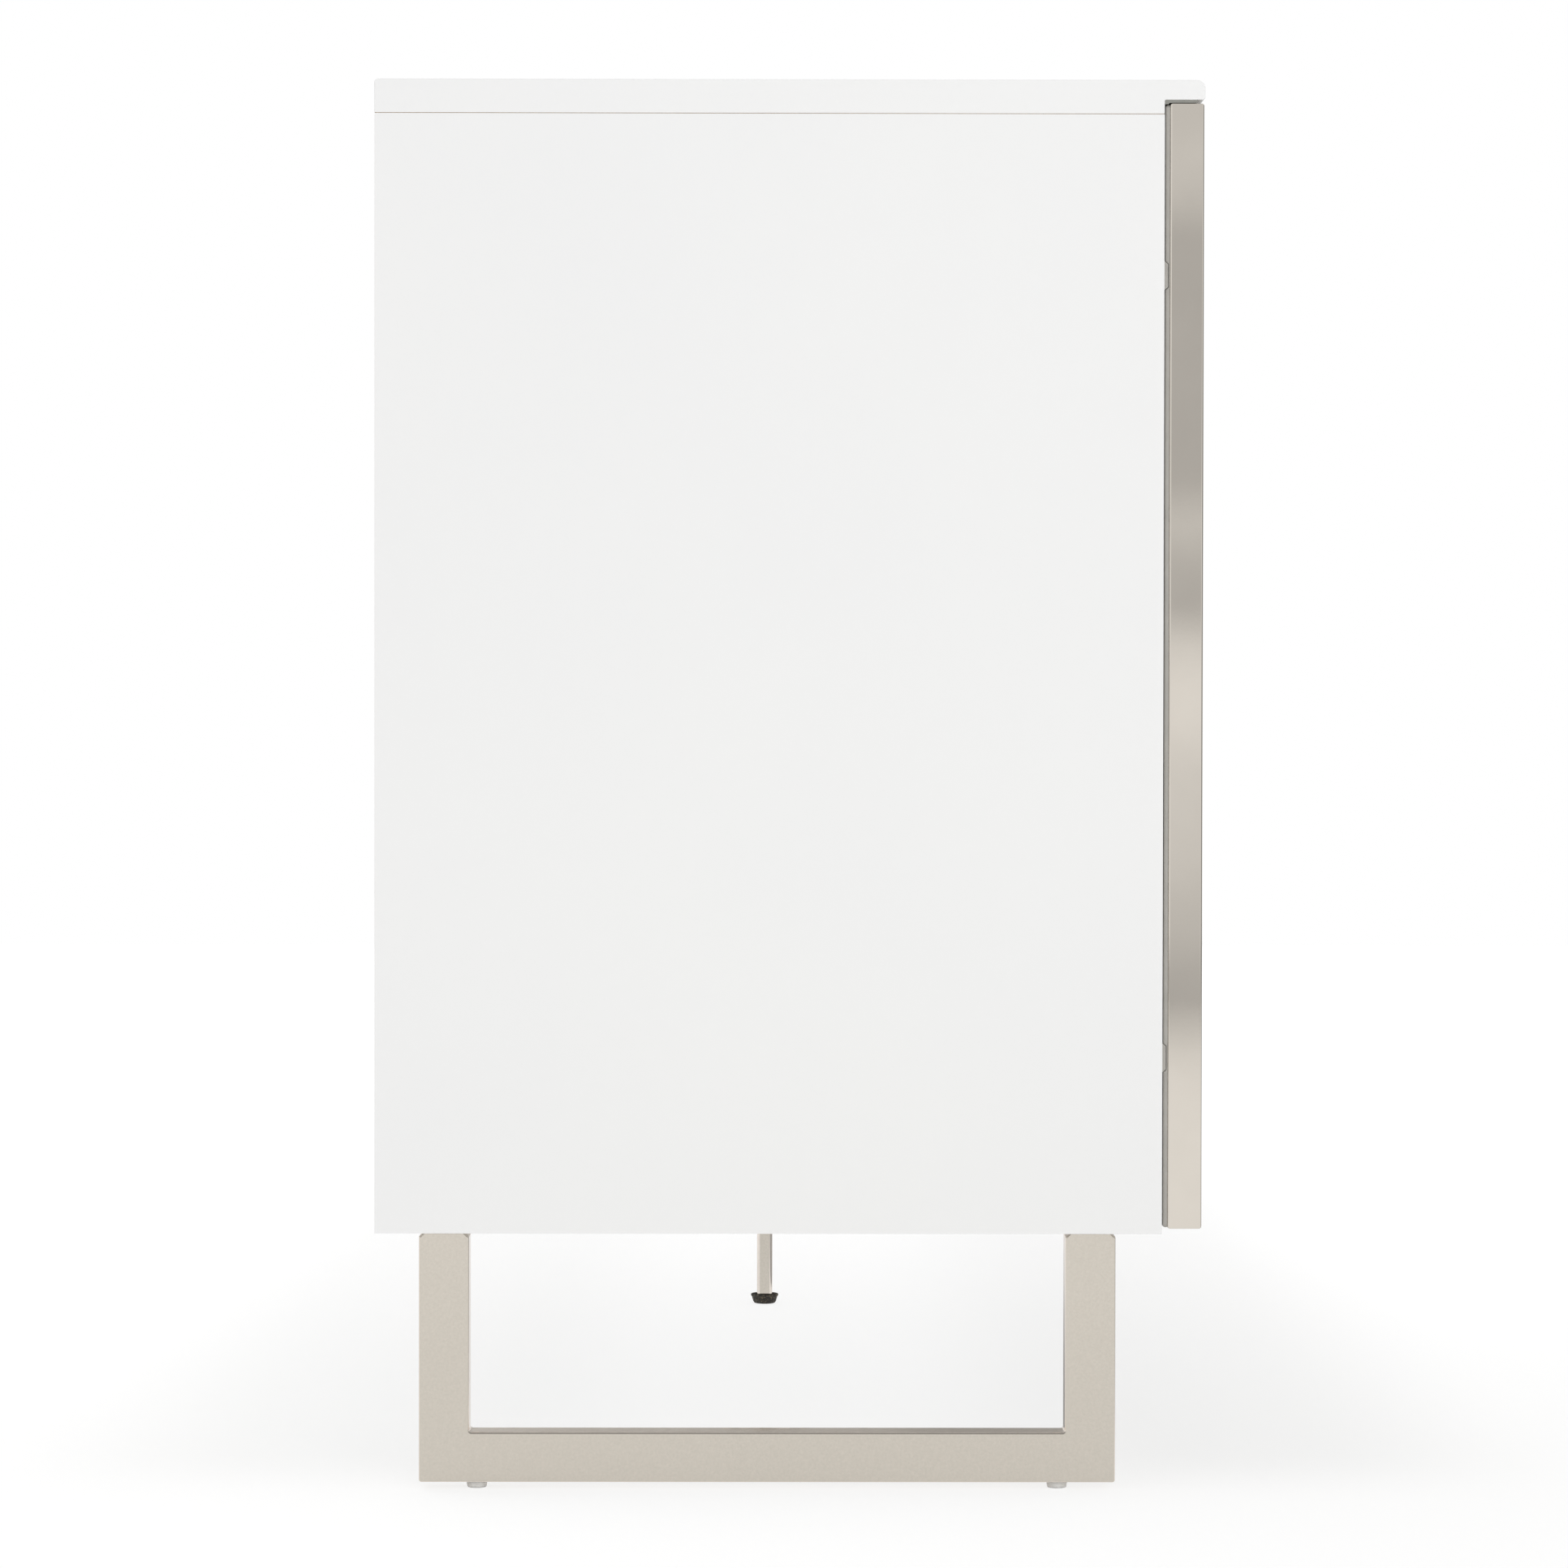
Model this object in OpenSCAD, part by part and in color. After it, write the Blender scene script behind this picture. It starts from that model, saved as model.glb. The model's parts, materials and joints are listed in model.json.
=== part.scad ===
// Low cabinet with four touch-open doors on two polished sled feet.
// Frame: X along the length, front towards -Y, Z up, origin on the floor under the middle.

/* [Cabinet] */
// Length over the side panels
length = 1800; // [1500:10:2200]
// Depth of the top panel, front to back
depth = 460; // [420:1:520]
// Height from the floor to the top surface
height = 784; // [700:1:900]
// Thickness of the side, bottom, partition and shelf boards
board_t = 19; // [18:0.5:22]
// Thickness of the top panel
top_t = 19; // [17:0.5:25]
// Thickness of the back panels
back_t = 8; // [5:0.5:9]
// Distance of the back panels inside the rear edges
back_recess = 2; // [2:0.5:4]
// Width of the rebate that takes each back panel
rebate_w = 9; // [7:0.5:11]

/* [Top panel edges] */
// Thickness of the front lip over the doors
lip_t = 11; // [8:0.5:14]
// Radius of the front upper edge
lip_top_r = 6; // [1:0.5:7]
// Radius of the front lower edge
lip_bottom_r = 1.5; // [0.5:0.5:3]
// Radius of the rear upper edge
rear_top_r = 2; // [0.5:0.5:4]

/* [Doors] */
// Thickness of the door frame, which is the depth of its tube
door_t = 19; // [18:0.5:21]
// Width of the door frame's tube
rail_w = 30; // [30:0.5:40]
// Wall of the door frame's tube
rail_wall = 1.5; // [1:0.1:2]
// Radius of the tube's upright outer edges
rail_r = 1.3; // [0.8:0.1:1.4]
// Distance from the closed door to the boards behind it
door_gap = 3; // [2.8:0.1:4]
// Distance of the door faces behind the front edge of the top
door_recess = 0.5; // [0:0.1:2]
// Gap between the lip and the doors
door_top_gap = 2; // [1:0.5:4]
// Height of the doors' lower edges above the underside of the cabinet
door_rise = 3; // [0:0.5:10]
// Gap between neighbouring doors
door_side_gap = 4; // [4:0.5:6]
// Thickness of the white panel inside a door frame
infill_t = 12; // [8:0.5:12]
// Distance of the white panel behind the frame's face
infill_recess = 2; // [0:0.5:3]
// Length of the tabs that hold the white panel
tab_len = 16; // [12:1:24]
// Width of those tabs
tab_w = 20; // [14:1:30]
// Thickness of those tabs
tab_t = 2; // [1:0.5:2.5]

/* [Hinges] */
// Height of each hinge from the nearer end of its door
hinge_inset = 95; // [80:1:150]
// Arm pivot, distance from the door's hinged edge
arm_pivot_in = 42.5; // [42:0.1:43]
// Arm pivot, distance behind the front edges of the boards
arm_pivot_back = 5; // [4.8:0.1:5.5]
// Cup pivot, distance from the door's hinged edge
cup_pivot_in = 15; // [14.9:0.1:15.2]
// Cup pivot, depth below the door's rear face
cup_pivot_deep = 4; // [3.8:0.1:4.2]
// Diameter of the arm pin
arm_pin_d = 4; // [3:0.1:4.4]
// Diameter of the cup pin
cup_pin_d = 3; // [2:0.1:3]
// Thickness of the link between the two pins
link_t = 2.4; // [1.6:0.1:2.8]
// Height of the link along its pins
link_h = 9; // [6:0.5:10]
// Thickness of the hinge's pressed sheet
sheet_t = 1.6; // [1:0.1:2]
// Length of the arm
arm_len = 64; // [60:1:80]
// Height of the arm's face above the side panel
arm_rise = 12; // [10:0.5:14]
// Distance of the plate screws behind the front edges of the boards
plate_setback = 37; // [36:0.5:40]
// Distance between the two plate screws
plate_pitch = 32; // [28:1:36]
// Near side of the pocket in the frame, from the door's hinged edge
pocket_near = 3.5; // [3:0.1:3.8]
// Far side of the pocket in the frame, from the door's hinged edge
pocket_far = 28; // [27.6:0.1:28.4]
// Height of the pocket
pocket_h = 24; // [20:1:30]

/* [Touch latches] */
// Distance of each latch from the door's free edge
latch_inset = 15; // [12:0.5:30]
// Width of the latch housing
latch_w = 16; // [14:0.5:20]
// Length of the latch housing
latch_len = 62; // [55:1:80]
// Diameter of the plunger
plunger_d = 8; // [6:0.5:9]
// Travel of the plunger
plunger_travel = 2.5; // [1:0.1:4]
// Diameter of the strike plate on the door
strike_d = 14; // [10:0.5:15]
// Thickness of the strike plate
strike_t = 1; // [0.5:0.1:1.5]

/* [Shelves] */
// Height of the shelves' undersides above the cabinet floor
shelf_rise = 292; // [200:1:380]
// Distance of the shelves behind the front edges of the boards
shelf_setback = 30; // [20:1:60]
// Gap at each end of a shelf
shelf_gap = 1; // [0.5:0.1:1.5]
// Diameter of the shelf pins
shelf_pin_d = 5; // [4:0.5:6]
// Spacing of the shelf pin holes
pin_pitch = 32; // [20:1:40]
// Number of pin holes in each row
pin_rows = 5; // [3:2:7]

/* [Feet] */
// Height of the sled feet without their glides
sled_h = 140; // [100:1:180]
// Width of the sled tube's outer face
sled_w = 28; // [24:0.5:40]
// Depth of the sled tube along the length of the cabinet
sled_t = 20; // [16:0.5:30]
// Wall of the sled tube
sled_wall = 2; // [1.5:0.1:2.5]
// Distance of the sled feet from the ends of the cabinet
sled_end_inset = 10; // [2:0.5:40]
// Distance of the sled feet behind the front edges of the boards
sled_front_inset = 25; // [15:0.5:50]
// Distance of the sled feet from the rear edges of the boards
sled_back_inset = 24; // [15:0.5:50]
// Cut corner at the top of each post
post_cut = 2; // [1:0.5:3]
// Length of the plate that fixes each post
mount_len = 70; // [60:1:100]
// Thickness of the fixing plates
mount_t = 3; // [2:0.5:5]
// Upper diameter of the glides
glide_d = 11; // [9:0.5:14]
// Lower diameter of the glides
glide_tip_d = 9.5; // [8:0.5:12]
// Height of the glides
glide_h = 4; // [3:0.5:8]
// Distance of the glides from the ends of the sled
glide_inset = 32; // [20:1:60]
// Width of the square middle leg
leg_w = 11; // [9:0.5:14]
// Wall of the middle leg
leg_wall = 1.5; // [1:0.1:2]
// Side of the middle leg's square plate
leg_plate_w = 60; // [50:1:80]
// Upper diameter of the rubber foot
foot_d = 20; // [18:0.5:28]
// Lower diameter of the rubber foot
foot_tip_d = 16.5; // [14:0.5:17.5]
// Height of the rubber foot
foot_h = 7; // [6:0.5:12]
// Depth of the dish that takes the middle leg
foot_dish = 4; // [3:0.5:4.5]

/* [Cable outlets] */
// Diameter of the hole in the back panel
outlet_d = 60; // [50:1:80]
// Diameter of the passage through the grommet
grommet_bore = 52; // [40:1:54]
// Diameter of the grommet's flange
grommet_flange_d = 70; // [66:1:90]
// Height of the outlets above the cabinet floor
outlet_rise = 150; // [80:1:220]

/* [Fasteners] */
// Diameter of a cam disc
cam_d = 15; // [12:0.5:16]
// Thickness of a cam disc
cam_t = 12; // [9:0.5:13]
// Distance of the cams from the joint that they pull
cam_setback = 24; // [20:1:34]
// Diameter of a cam bolt
cam_bolt_d = 7; // [5:0.5:8]
// Depth of a cam bolt in the board it holds
cam_bolt_grip = 11; // [8:0.5:12]
// Diameter of the long screws under the partition
long_screw_d = 6; // [5:0.5:7]
// Length of those screws
long_screw_len = 50; // [40:1:60]
// Diameter of the screws in the feet's plates
foot_screw_d = 6; // [4:0.5:7]
// Depth of those screws in the bottom panel
foot_screw_grip = 14; // [8:0.5:16]
// Diameter of the small wood screws
small_screw_d = 3.5; // [3:0.1:4]
// Grip of the small wood screws
small_screw_grip = 10; // [6:0.5:11]

/* [Clearances] */
// Running clearance round a hinge pin
pin_play = 0.05; // [0.03:0.01:0.08]
// Side clearance of a link between its cheeks
link_play = 0.9; // [0.5:0.1:1.2]
// Root gap of the welds between the pieces of a door frame
weld_gap = 0.1; // [0.06:0.02:0.2]
// Clearance round pieces that slide or stand free
free_play = 0.3; // [0.2:0.05:0.4]

/* [Hidden] */
$fn = 48;
SKIN = 1; // run past a face, for cuts
BED = 0.5; // length that one piece of a solid runs into the next
front_y = -depth / 2 + door_recess + door_t + door_gap; // front edges of the boards
back_y = depth / 2;
board_back_y = back_y - back_recess - back_t; // boards that stand before the back panels
under_z = glide_h + sled_h; // underside of the cabinet
floor_z = under_z + board_t; // cabinet floor
roof_z = height - top_t; // underside of the top
inner_x = length / 2 - board_t; // inner face of a side panel
door_w = (length / 2 - 1.5 * door_side_gap) / 2;
door_top_z = height - lip_t - door_top_gap;
door_bottom_z = under_z + door_rise;
door_h = door_top_z - door_bottom_z;
door_back_q = -door_gap; // rear face of a closed door, from the boards' front edges
door_front_q = -door_gap - door_t;
infill_front_q = door_front_q + infill_recess;
infill_back_q = infill_front_q + infill_t;
DOORS = [0 : 3]; // from left to right
HAND = [1, -1, 1, -1]; // 1 where a door is hinged at its left edge
EDGE = [-length / 2, -door_side_gap / 2, door_side_gap / 2, length / 2]; // hinged edges
end_wall_p = board_t; // inner face of a side panel, from an end door's hinged edge
mid_wall_p = (board_t - door_side_gap) / 2; // the same for a door at the partition
WALL = [end_wall_p, mid_wall_p, mid_wall_p, end_wall_p];
hinge_z = [door_bottom_z + hinge_inset, door_top_z - hinge_inset];

// hinge
link_run = arm_pivot_in - cup_pivot_in;
link_rise = arm_pivot_back + door_gap + cup_pivot_deep;
link_len = sqrt(link_run * link_run + link_rise * link_rise);
link_turn = atan2(link_rise, link_run);
arm_eye_wall = 1.4; // round the arm pin, on the link
cup_eye_wall = 1.1; // round the cup pin, on the link
arm_boss_wall = 2.2; // round the arm pin, on the arm's cheeks
arm_eye_r = arm_pin_d / 2 + arm_eye_wall;
cup_eye_r = cup_pin_d / 2 + cup_eye_wall;
arm_boss_r = arm_pin_d / 2 + arm_boss_wall;
arm_pin_proud = 0.6; // riveted end of the arm pin, outside the cheeks
cheek_in = link_h / 2 + link_play; // inner face of the arm's cheeks
cheek_out = cheek_in + sheet_t;
arm_face_p = board_t + arm_rise; // outer face of the arm
arm_front_q = 12; // where the cranked nose meets the channel
arm_face_q = arm_front_q + 4; // front end of the channel's face
arm_back_q = arm_front_q + arm_len;
arm_skirt = 7; // depth of the arm's side flanges
nose_back_q = arm_front_q + 10; // where the nose's cheeks end
nose_root_p = arm_face_p - arm_skirt;
spine_front_q = arm_front_q + 8;
spine_back_q = arm_back_q - 2;
spine_w = 2 * (cheek_in - free_play);
wing_w = 20;
wing_over = 10; // wing beyond each plate screw
wing_t = 2;
plate_screw_d = 5;
plate_screw_grip = 8.5; // less than half a board, for two plates back to back
plate_head_d = plate_screw_d + 4;
arm_screw_q = [plate_setback - 5, arm_back_q - 10];
arm_screw_d = 4;
arm_screw_grip = 4;
arm_head_d = arm_screw_d + 3;
cap_h = 2; // height of a small screw head
cup_in = link_h / 2 + link_play;
cup_out = cup_in + sheet_t;
cup_half_w = 7;
cup_near = cup_pivot_in - cup_half_w;
cup_far = cup_pivot_in + cup_half_w;
cup_floor_play = 1.4; // under the link's eye
cup_deep = cup_pivot_deep + cup_eye_r + cup_floor_play;
flange_t = 1;
flange_half_w = cup_half_w + 2;
flange_near = cup_pivot_in - flange_half_w;
flange_far = cup_pivot_in + flange_half_w;
flange_half_h = pocket_h / 2 + 13;
cup_screw_z = pocket_h / 2 + 6.5;
cup_screw_grip = 5;
cup_head_d = 2 * small_screw_d;
cup_head_h = 1;

// door tabs, three to a side rail and one to the middle of each cross rail
tab_margin = 45;
tab_z = [door_bottom_z + tab_margin, (door_bottom_z + door_top_z) / 2, door_top_z - tab_margin];
tab_spots = concat(
    [for (z = tab_z) [rail_w, z, 0]],
    [for (z = tab_z) [door_w - rail_w, z, 180]],
    [[door_w / 2, door_bottom_z + rail_w, 90], [door_w / 2, door_top_z - rail_w, 270]]);
tab_screw_in = 0.6 * tab_len; // from the rail to the screw
tab_screw_d = 4;
tab_screw_grip = 8;
tab_screw_head_d = 2 * tab_screw_d;

// touch latch
latch_p = door_w - latch_inset; // from the door's hinged edge
latch_h = latch_w;
latch_z = roof_z - latch_h / 2;
tip_h = 3; // magnet on the plunger
tip_d = plunger_d + 2;
tip_q = door_back_q + strike_t + free_play;
housing_q = tip_q + tip_h + plunger_travel + free_play;
plunger_rod_len = 33;
plunger_spring_len = 6; // room for the spring behind the plunger
plunger_bore_len = plunger_rod_len + plunger_travel + plunger_spring_len;
ear_w = 8;
ear_t = 3;
ear_len = 14;
ear_q = housing_q + latch_len - ear_len;
latch_screw_off = (latch_w + ear_w) / 2;
latch_screw_q = ear_q + ear_len / 2;
latch_head_d = 2 * small_screw_d;

// shelves
shelf_z = floor_z + shelf_rise;
shelf_back_y = board_back_y - shelf_gap;
shelf_pin_z = shelf_z - shelf_pin_d / 2;
pin_front_in = 40; // from the shelf's front edge
pin_back_in = 50; // from the boards' rear edges
pin_columns = [front_y + shelf_setback + pin_front_in, board_back_y - pin_back_in];
pin_hole_deep = 9; // less than half a board, for two rows back to back
pin_out = 9; // length under the shelf
shelf_ends = [[-inner_x, -board_t / 2], [board_t / 2, inner_x]];

// feet
sled_front_y = front_y + sled_front_inset;
sled_back_y = back_y - sled_back_inset;
sled_mid_y = (sled_front_y + sled_back_y) / 2;
sled_out_x = length / 2 - sled_end_inset;
sled_in_x = sled_out_x - sled_t;
post_mid_y = [sled_front_y + sled_w / 2, sled_back_y - sled_w / 2];
mount_screw_near = 25; // from the post to its first screw
mount_screw_end = 13; // from the last screw to the end of the fixing plate
mount_screw_x = [sled_in_x - mount_screw_near, sled_in_x - mount_len + mount_screw_end];
foot_head_d = 2 * foot_screw_d;
foot_head_h = 3;
stem_d = 6; // stem of a glide, in the sled tube
stem_len = 9;
glide_y = [sled_front_y + glide_inset, sled_back_y - glide_inset];
glide_x = sled_out_x - sled_t / 2;
leg_bottom_z = foot_h - foot_dish;
leg_screw_off = leg_plate_w / 2 - 8;

// cams and long screws
cam_front_in = 90; // from the boards' edges to the cams
cam_back_in = 110;
cam_y = [front_y + cam_front_in, board_back_y - cam_back_in];
cam_body_d = cam_d - free_play;
cam_pocket = cam_t + free_play;
cam_shank_d = cam_bolt_d - 1;
long_front_in = 57; // from the boards' edges to the long screws
long_middle_in = 147;
long_back_in = 80;
long_screw_y = [front_y + long_front_in, front_y + long_middle_in, board_back_y - long_back_in];
long_head_d = long_screw_d + 4;
long_head_h = 4;

// back panels
outlet_z = floor_z + outlet_rise;
outlet_x = length / 4;
panel_split = 1; // gap between the two back panels
ledge_x = inner_x + rebate_w / 2;
back_screw_end = 40; // from the bottom and the top to the last screws
back_screw_span = roof_z - floor_z - 2 * back_screw_end;
back_screw_z = [for (k = [0 : 3]) floor_z + back_screw_end + k * back_screw_span / 3];
back_screw_x = [for (k = [1 : 3]) k * inner_x / 4];
back_head_h = 0.9 * back_recess; // stays inside the rear edges
small_head_d = 2 * small_screw_d + 1;

// ---------- helpers ----------

// A box given by its lowest and highest corners.
module span(low, high) {
    translate(low) cube(high - low);
}

// A cylinder along X, Y or Z that starts at a point.
module rod_x(at, d, len) {
    translate(at) rotate([0, 90, 0]) cylinder(d = d, h = len);
}
module rod_y(at, d, len) {
    translate(at) rotate([-90, 0, 0]) cylinder(d = d, h = len);
}
module rod_z(at, d, len) {
    translate(at) cylinder(d = d, h = len);
}

// The frame of door i: X from its hinged edge to its free edge, Y back from the boards' fronts.
module at_door(i) {
    translate([EDGE[i], front_y, 0]) mirror([HAND[i] > 0 ? 0 : 1, 0, 0]) children();
}

// The frame of one tab: X from its rail into the door's opening.
module at_tab(spot) {
    translate([spot[0], 0, spot[1]]) rotate([0, -spot[2], 0]) children();
}

// Both ends of the cabinet, the left one mirrored.
module both_ends() {
    children();
    mirror([1, 0, 0]) children();
}

// Points of a quarter circle round a centre, from one angle to another.
function arc(cx, cy, r, from, to, n = 8) =
    [for (k = [0 : n]) let (a = from + (to - from) * k / n) [cx + r * cos(a), cy + r * sin(a)]];

// ---------- boards ----------

// A strip of the top, swept from its end outline (Y and Z) along the whole length.
module along_top() {
    translate([-length / 2, 0, 0]) rotate([90, 0, 90]) linear_extrude(length) children();
}

// The lip over the doors: a soft-edged strip glued to the front edge of the top panel.
module top_lip() {
    f = -depth / 2;
    low = height - lip_t;
    color("white") along_top() polygon(concat(
        [[front_y, low], [front_y, height]],
        arc(f + lip_top_r, height - lip_top_r, lip_top_r, 90, 180),
        arc(f + lip_bottom_r, low + lip_bottom_r, lip_bottom_r, 180, 270, 5)));
}

module top_panel() {
    r = rear_top_r;
    color("white") difference() {
        along_top() polygon(concat(
            [[back_y, roof_z], [front_y, roof_z], [front_y, height]],
            arc(back_y - r, height - r, r, 90, 0)));
        for (x = [-length / 2 + board_t / 2, 0, length / 2 - board_t / 2], y = cam_y)
            rod_z([x, y, roof_z - SKIN], cam_bolt_d, cam_bolt_grip + SKIN);
        for (i = DOORS) at_door(i) latch_screw_bores();
    }
}

// Holes in a side panel or partition face at x = 0, opening towards +X, for a hinge.
module plate_screw_bores() {
    for (z = hinge_z, s = [-1, 1])
        rod_x([-plate_screw_grip, front_y + plate_setback, z + s * plate_pitch / 2],
            plate_screw_d, plate_screw_grip + SKIN);
}

// Rows of shelf pin holes in a face at x = 0, opening towards +X.
module shelf_pin_bores() {
    for (y = pin_columns, k = [0 : pin_rows - 1])
        rod_x([-pin_hole_deep, y, shelf_pin_z + (k - (pin_rows - 1) / 2) * pin_pitch],
            shelf_pin_d, pin_hole_deep + SKIN);
}

// Pocket and bolt hole of one upper cam in a face at x = 0, opening towards +X.
module upper_cam_bores(board_mid) {
    for (y = cam_y) {
        rod_x([-cam_pocket, y, roof_z - cam_setback], cam_d, cam_pocket + SKIN);
        rod_z([board_mid, y, roof_z - cam_setback], cam_bolt_d, cam_setback + SKIN);
    }
}

// Left side panel; the right one is its mirror image.
module side_panel() {
    color("whitesmoke") difference() {
        span([-length / 2, front_y, under_z], [-inner_x, back_y, roof_z]);
        span([-inner_x - rebate_w, board_back_y, under_z + back_recess],
            [-inner_x + SKIN, back_y + SKIN, roof_z + SKIN]);
        translate([-inner_x, 0, 0]) {
            plate_screw_bores();
            shelf_pin_bores();
            upper_cam_bores(-board_t / 2);
        }
        for (y = cam_y)
            rod_x([-inner_x - cam_bolt_grip, y, under_z + board_t / 2], cam_bolt_d,
                cam_bolt_grip + SKIN);
        for (z = back_screw_z)
            rod_y([-ledge_x, board_back_y - small_screw_grip, z], small_screw_d,
                small_screw_grip + SKIN);
    }
}
module left_side_panel() {
    side_panel();
}
module right_side_panel() {
    mirror([1, 0, 0]) side_panel();
}

module bottom_panel() {
    color("whitesmoke") difference() {
        span([-inner_x, front_y, under_z], [inner_x, board_back_y, floor_z]);
        both_ends() {
            for (y = cam_y) {
                rod_z([inner_x - cam_setback, y, under_z - SKIN], cam_d, cam_pocket + SKIN);
                rod_x([inner_x - cam_setback, y, under_z + board_t / 2], cam_bolt_d,
                    cam_setback + SKIN);
            }
            for (x = mount_screw_x, y = post_mid_y)
                rod_z([x, y, under_z - SKIN], foot_screw_d, foot_screw_grip + SKIN);
            for (x = back_screw_x)
                rod_y([x, board_back_y - small_screw_grip, under_z + board_t / 2], small_screw_d,
                    small_screw_grip + SKIN);
        }
        for (y = long_screw_y) {
            rod_z([0, y, under_z - SKIN], long_screw_d, board_t + 2 * SKIN);
            rod_z([0, y, under_z - SKIN], long_head_d, long_head_h + SKIN);
        }
        for (sx = [-1, 1], sy = [-1, 1])
            rod_z([sx * leg_screw_off, sled_mid_y + sy * leg_screw_off, under_z - SKIN],
                small_screw_d, small_screw_grip + SKIN);
    }
}

module centre_partition() {
    color("whitesmoke") difference() {
        span([-board_t / 2, front_y, floor_z], [board_t / 2, board_back_y, roof_z]);
        both_ends() translate([board_t / 2, 0, 0]) {
            plate_screw_bores();
            shelf_pin_bores();
        }
        translate([board_t / 2, 0, 0]) upper_cam_bores(-board_t / 2);
        for (y = long_screw_y)
            rod_z([0, y, floor_z - SKIN], long_screw_d, long_screw_len - board_t + SKIN);
        for (s = [-1, 1], z = back_screw_z)
            rod_y([s * board_t / 4, board_back_y - small_screw_grip, z], small_screw_d,
                small_screw_grip + SKIN);
    }
}

// Right back panel; the left one is its mirror image.
module back_panel() {
    color("gainsboro") difference() {
        span([panel_split / 2, board_back_y, under_z + back_recess],
            [inner_x + rebate_w, board_back_y + back_t, roof_z]);
        rod_y([outlet_x, board_back_y - SKIN, outlet_z], outlet_d, back_t + 2 * SKIN);
        for (z = back_screw_z) {
            rod_y([ledge_x, board_back_y - SKIN, z], small_screw_d, back_t + 2 * SKIN);
            rod_y([board_t / 4, board_back_y - SKIN, z], small_screw_d, back_t + 2 * SKIN);
        }
        for (x = back_screw_x)
            rod_y([x, board_back_y - SKIN, under_z + board_t / 2], small_screw_d,
                back_t + 2 * SKIN);
    }
}
module left_back_panel() {
    mirror([1, 0, 0]) back_panel();
}
module right_back_panel() {
    back_panel();
}

module shelf(ends) {
    color("whitesmoke")
        span([ends[0] + shelf_gap, front_y + shelf_setback, shelf_z],
            [ends[1] - shelf_gap, shelf_back_y, shelf_z + board_t]);
}
module left_shelf() {
    shelf(shelf_ends[0]);
}
module right_shelf() {
    shelf(shelf_ends[1]);
}

module shelf_pins() {
    color("silver") for (ends = shelf_ends, y = pin_columns) {
        rod_x([ends[0] - pin_hole_deep, y, shelf_pin_z], shelf_pin_d, pin_hole_deep + pin_out);
        rod_x([ends[1] - pin_out, y, shelf_pin_z], shelf_pin_d, pin_hole_deep + pin_out);
    }
}

module cable_grommets() {
    color("white") both_ends() difference() {
        union() {
            rod_y([outlet_x, board_back_y, outlet_z], outlet_d - free_play, back_t + SKIN);
            rod_y([outlet_x, board_back_y + back_t, outlet_z], grommet_flange_d, back_recess);
        }
        rod_y([outlet_x, board_back_y - SKIN, outlet_z], grommet_bore,
            back_t + back_recess + 2 * SKIN);
    }
}

// ---------- carcass fasteners ----------

module cam_discs() {
    color("silver") for (y = cam_y) {
        both_ends() {
            rod_x([inner_x, y, roof_z - cam_setback], cam_body_d, cam_t);
            rod_z([inner_x - cam_setback, y, under_z], cam_body_d, cam_t);
        }
        rod_x([board_t / 2 - cam_t, y, roof_z - cam_setback], cam_body_d, cam_t);
    }
}

// Each bolt starts at the rim of its cam and ends in the board that it pulls.
module cam_bolts() {
    start = cam_body_d / 2;
    color("silver") for (y = cam_y) {
        for (x = [-length / 2 + board_t / 2, 0, length / 2 - board_t / 2]) {
            rod_z([x, y, roof_z - cam_setback + start], cam_shank_d, cam_setback - start);
            rod_z([x, y, roof_z], cam_bolt_d, cam_bolt_grip);
        }
        both_ends() {
            rod_x([inner_x - cam_setback + start, y, under_z + board_t / 2], cam_shank_d,
                cam_setback - start);
            rod_x([inner_x, y, under_z + board_t / 2], cam_bolt_d, cam_bolt_grip);
        }
    }
}

module partition_screws() {
    color("silver") for (y = long_screw_y) {
        rod_z([0, y, under_z], long_head_d, long_head_h);
        rod_z([0, y, under_z], long_screw_d, long_screw_len);
    }
}

module back_screw(x, z) {
    rod_y([x, board_back_y - small_screw_grip, z], small_screw_d, small_screw_grip + back_t);
    rod_y([x, board_back_y + back_t, z], small_head_d, back_head_h);
}
module back_panel_screws() {
    color("silver") both_ends() {
        for (z = back_screw_z) {
            back_screw(ledge_x, z);
            back_screw(board_t / 4, z);
        }
        for (x = back_screw_x) back_screw(x, under_z + board_t / 2);
    }
}

// ---------- feet ----------

// Outline of a sled foot seen from the end, with cut corners under the cabinet.
module sled_outline() {
    c = post_cut;
    a = sled_front_y;
    b = sled_back_y;
    w = sled_w;
    polygon([[a, glide_h], [b, glide_h], [b, under_z - c], [b - c, under_z],
        [b - w + c, under_z], [b - w, under_z - c], [b - w, glide_h + w], [a + w, glide_h + w],
        [a + w, under_z - c], [a + w - c, under_z], [a + c, under_z], [a, under_z - c]]);
}

// Right sled foot: one welded tube with a fixing plate behind each post.
module sled_foot() {
    w = sled_wall;
    color("tan") difference() {
        union() {
            translate([sled_in_x, 0, 0]) rotate([90, 0, 90])
                linear_extrude(sled_t) sled_outline();
            for (y = post_mid_y)
                span([sled_in_x - mount_len, y - sled_w / 2, under_z - mount_t],
                    [sled_in_x, y + sled_w / 2, under_z]);
        }
        span([sled_in_x + w, sled_front_y + w, glide_h + w],
            [sled_out_x - w, sled_back_y - w, glide_h + sled_w - w]);
        for (y = post_mid_y)
            span([sled_in_x + w, y - sled_w / 2 + w, glide_h + w],
                [sled_out_x - w, y + sled_w / 2 - w, under_z - post_cut - w]);
        for (y = glide_y)
            rod_z([glide_x, y, glide_h - SKIN], stem_d + free_play, sled_wall + 2 * SKIN);
        for (x = mount_screw_x, y = post_mid_y)
            rod_z([x, y, under_z - mount_t - SKIN], foot_screw_d + free_play,
                mount_t + 2 * SKIN);
    }
}
module right_sled_foot() {
    sled_foot();
}
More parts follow.
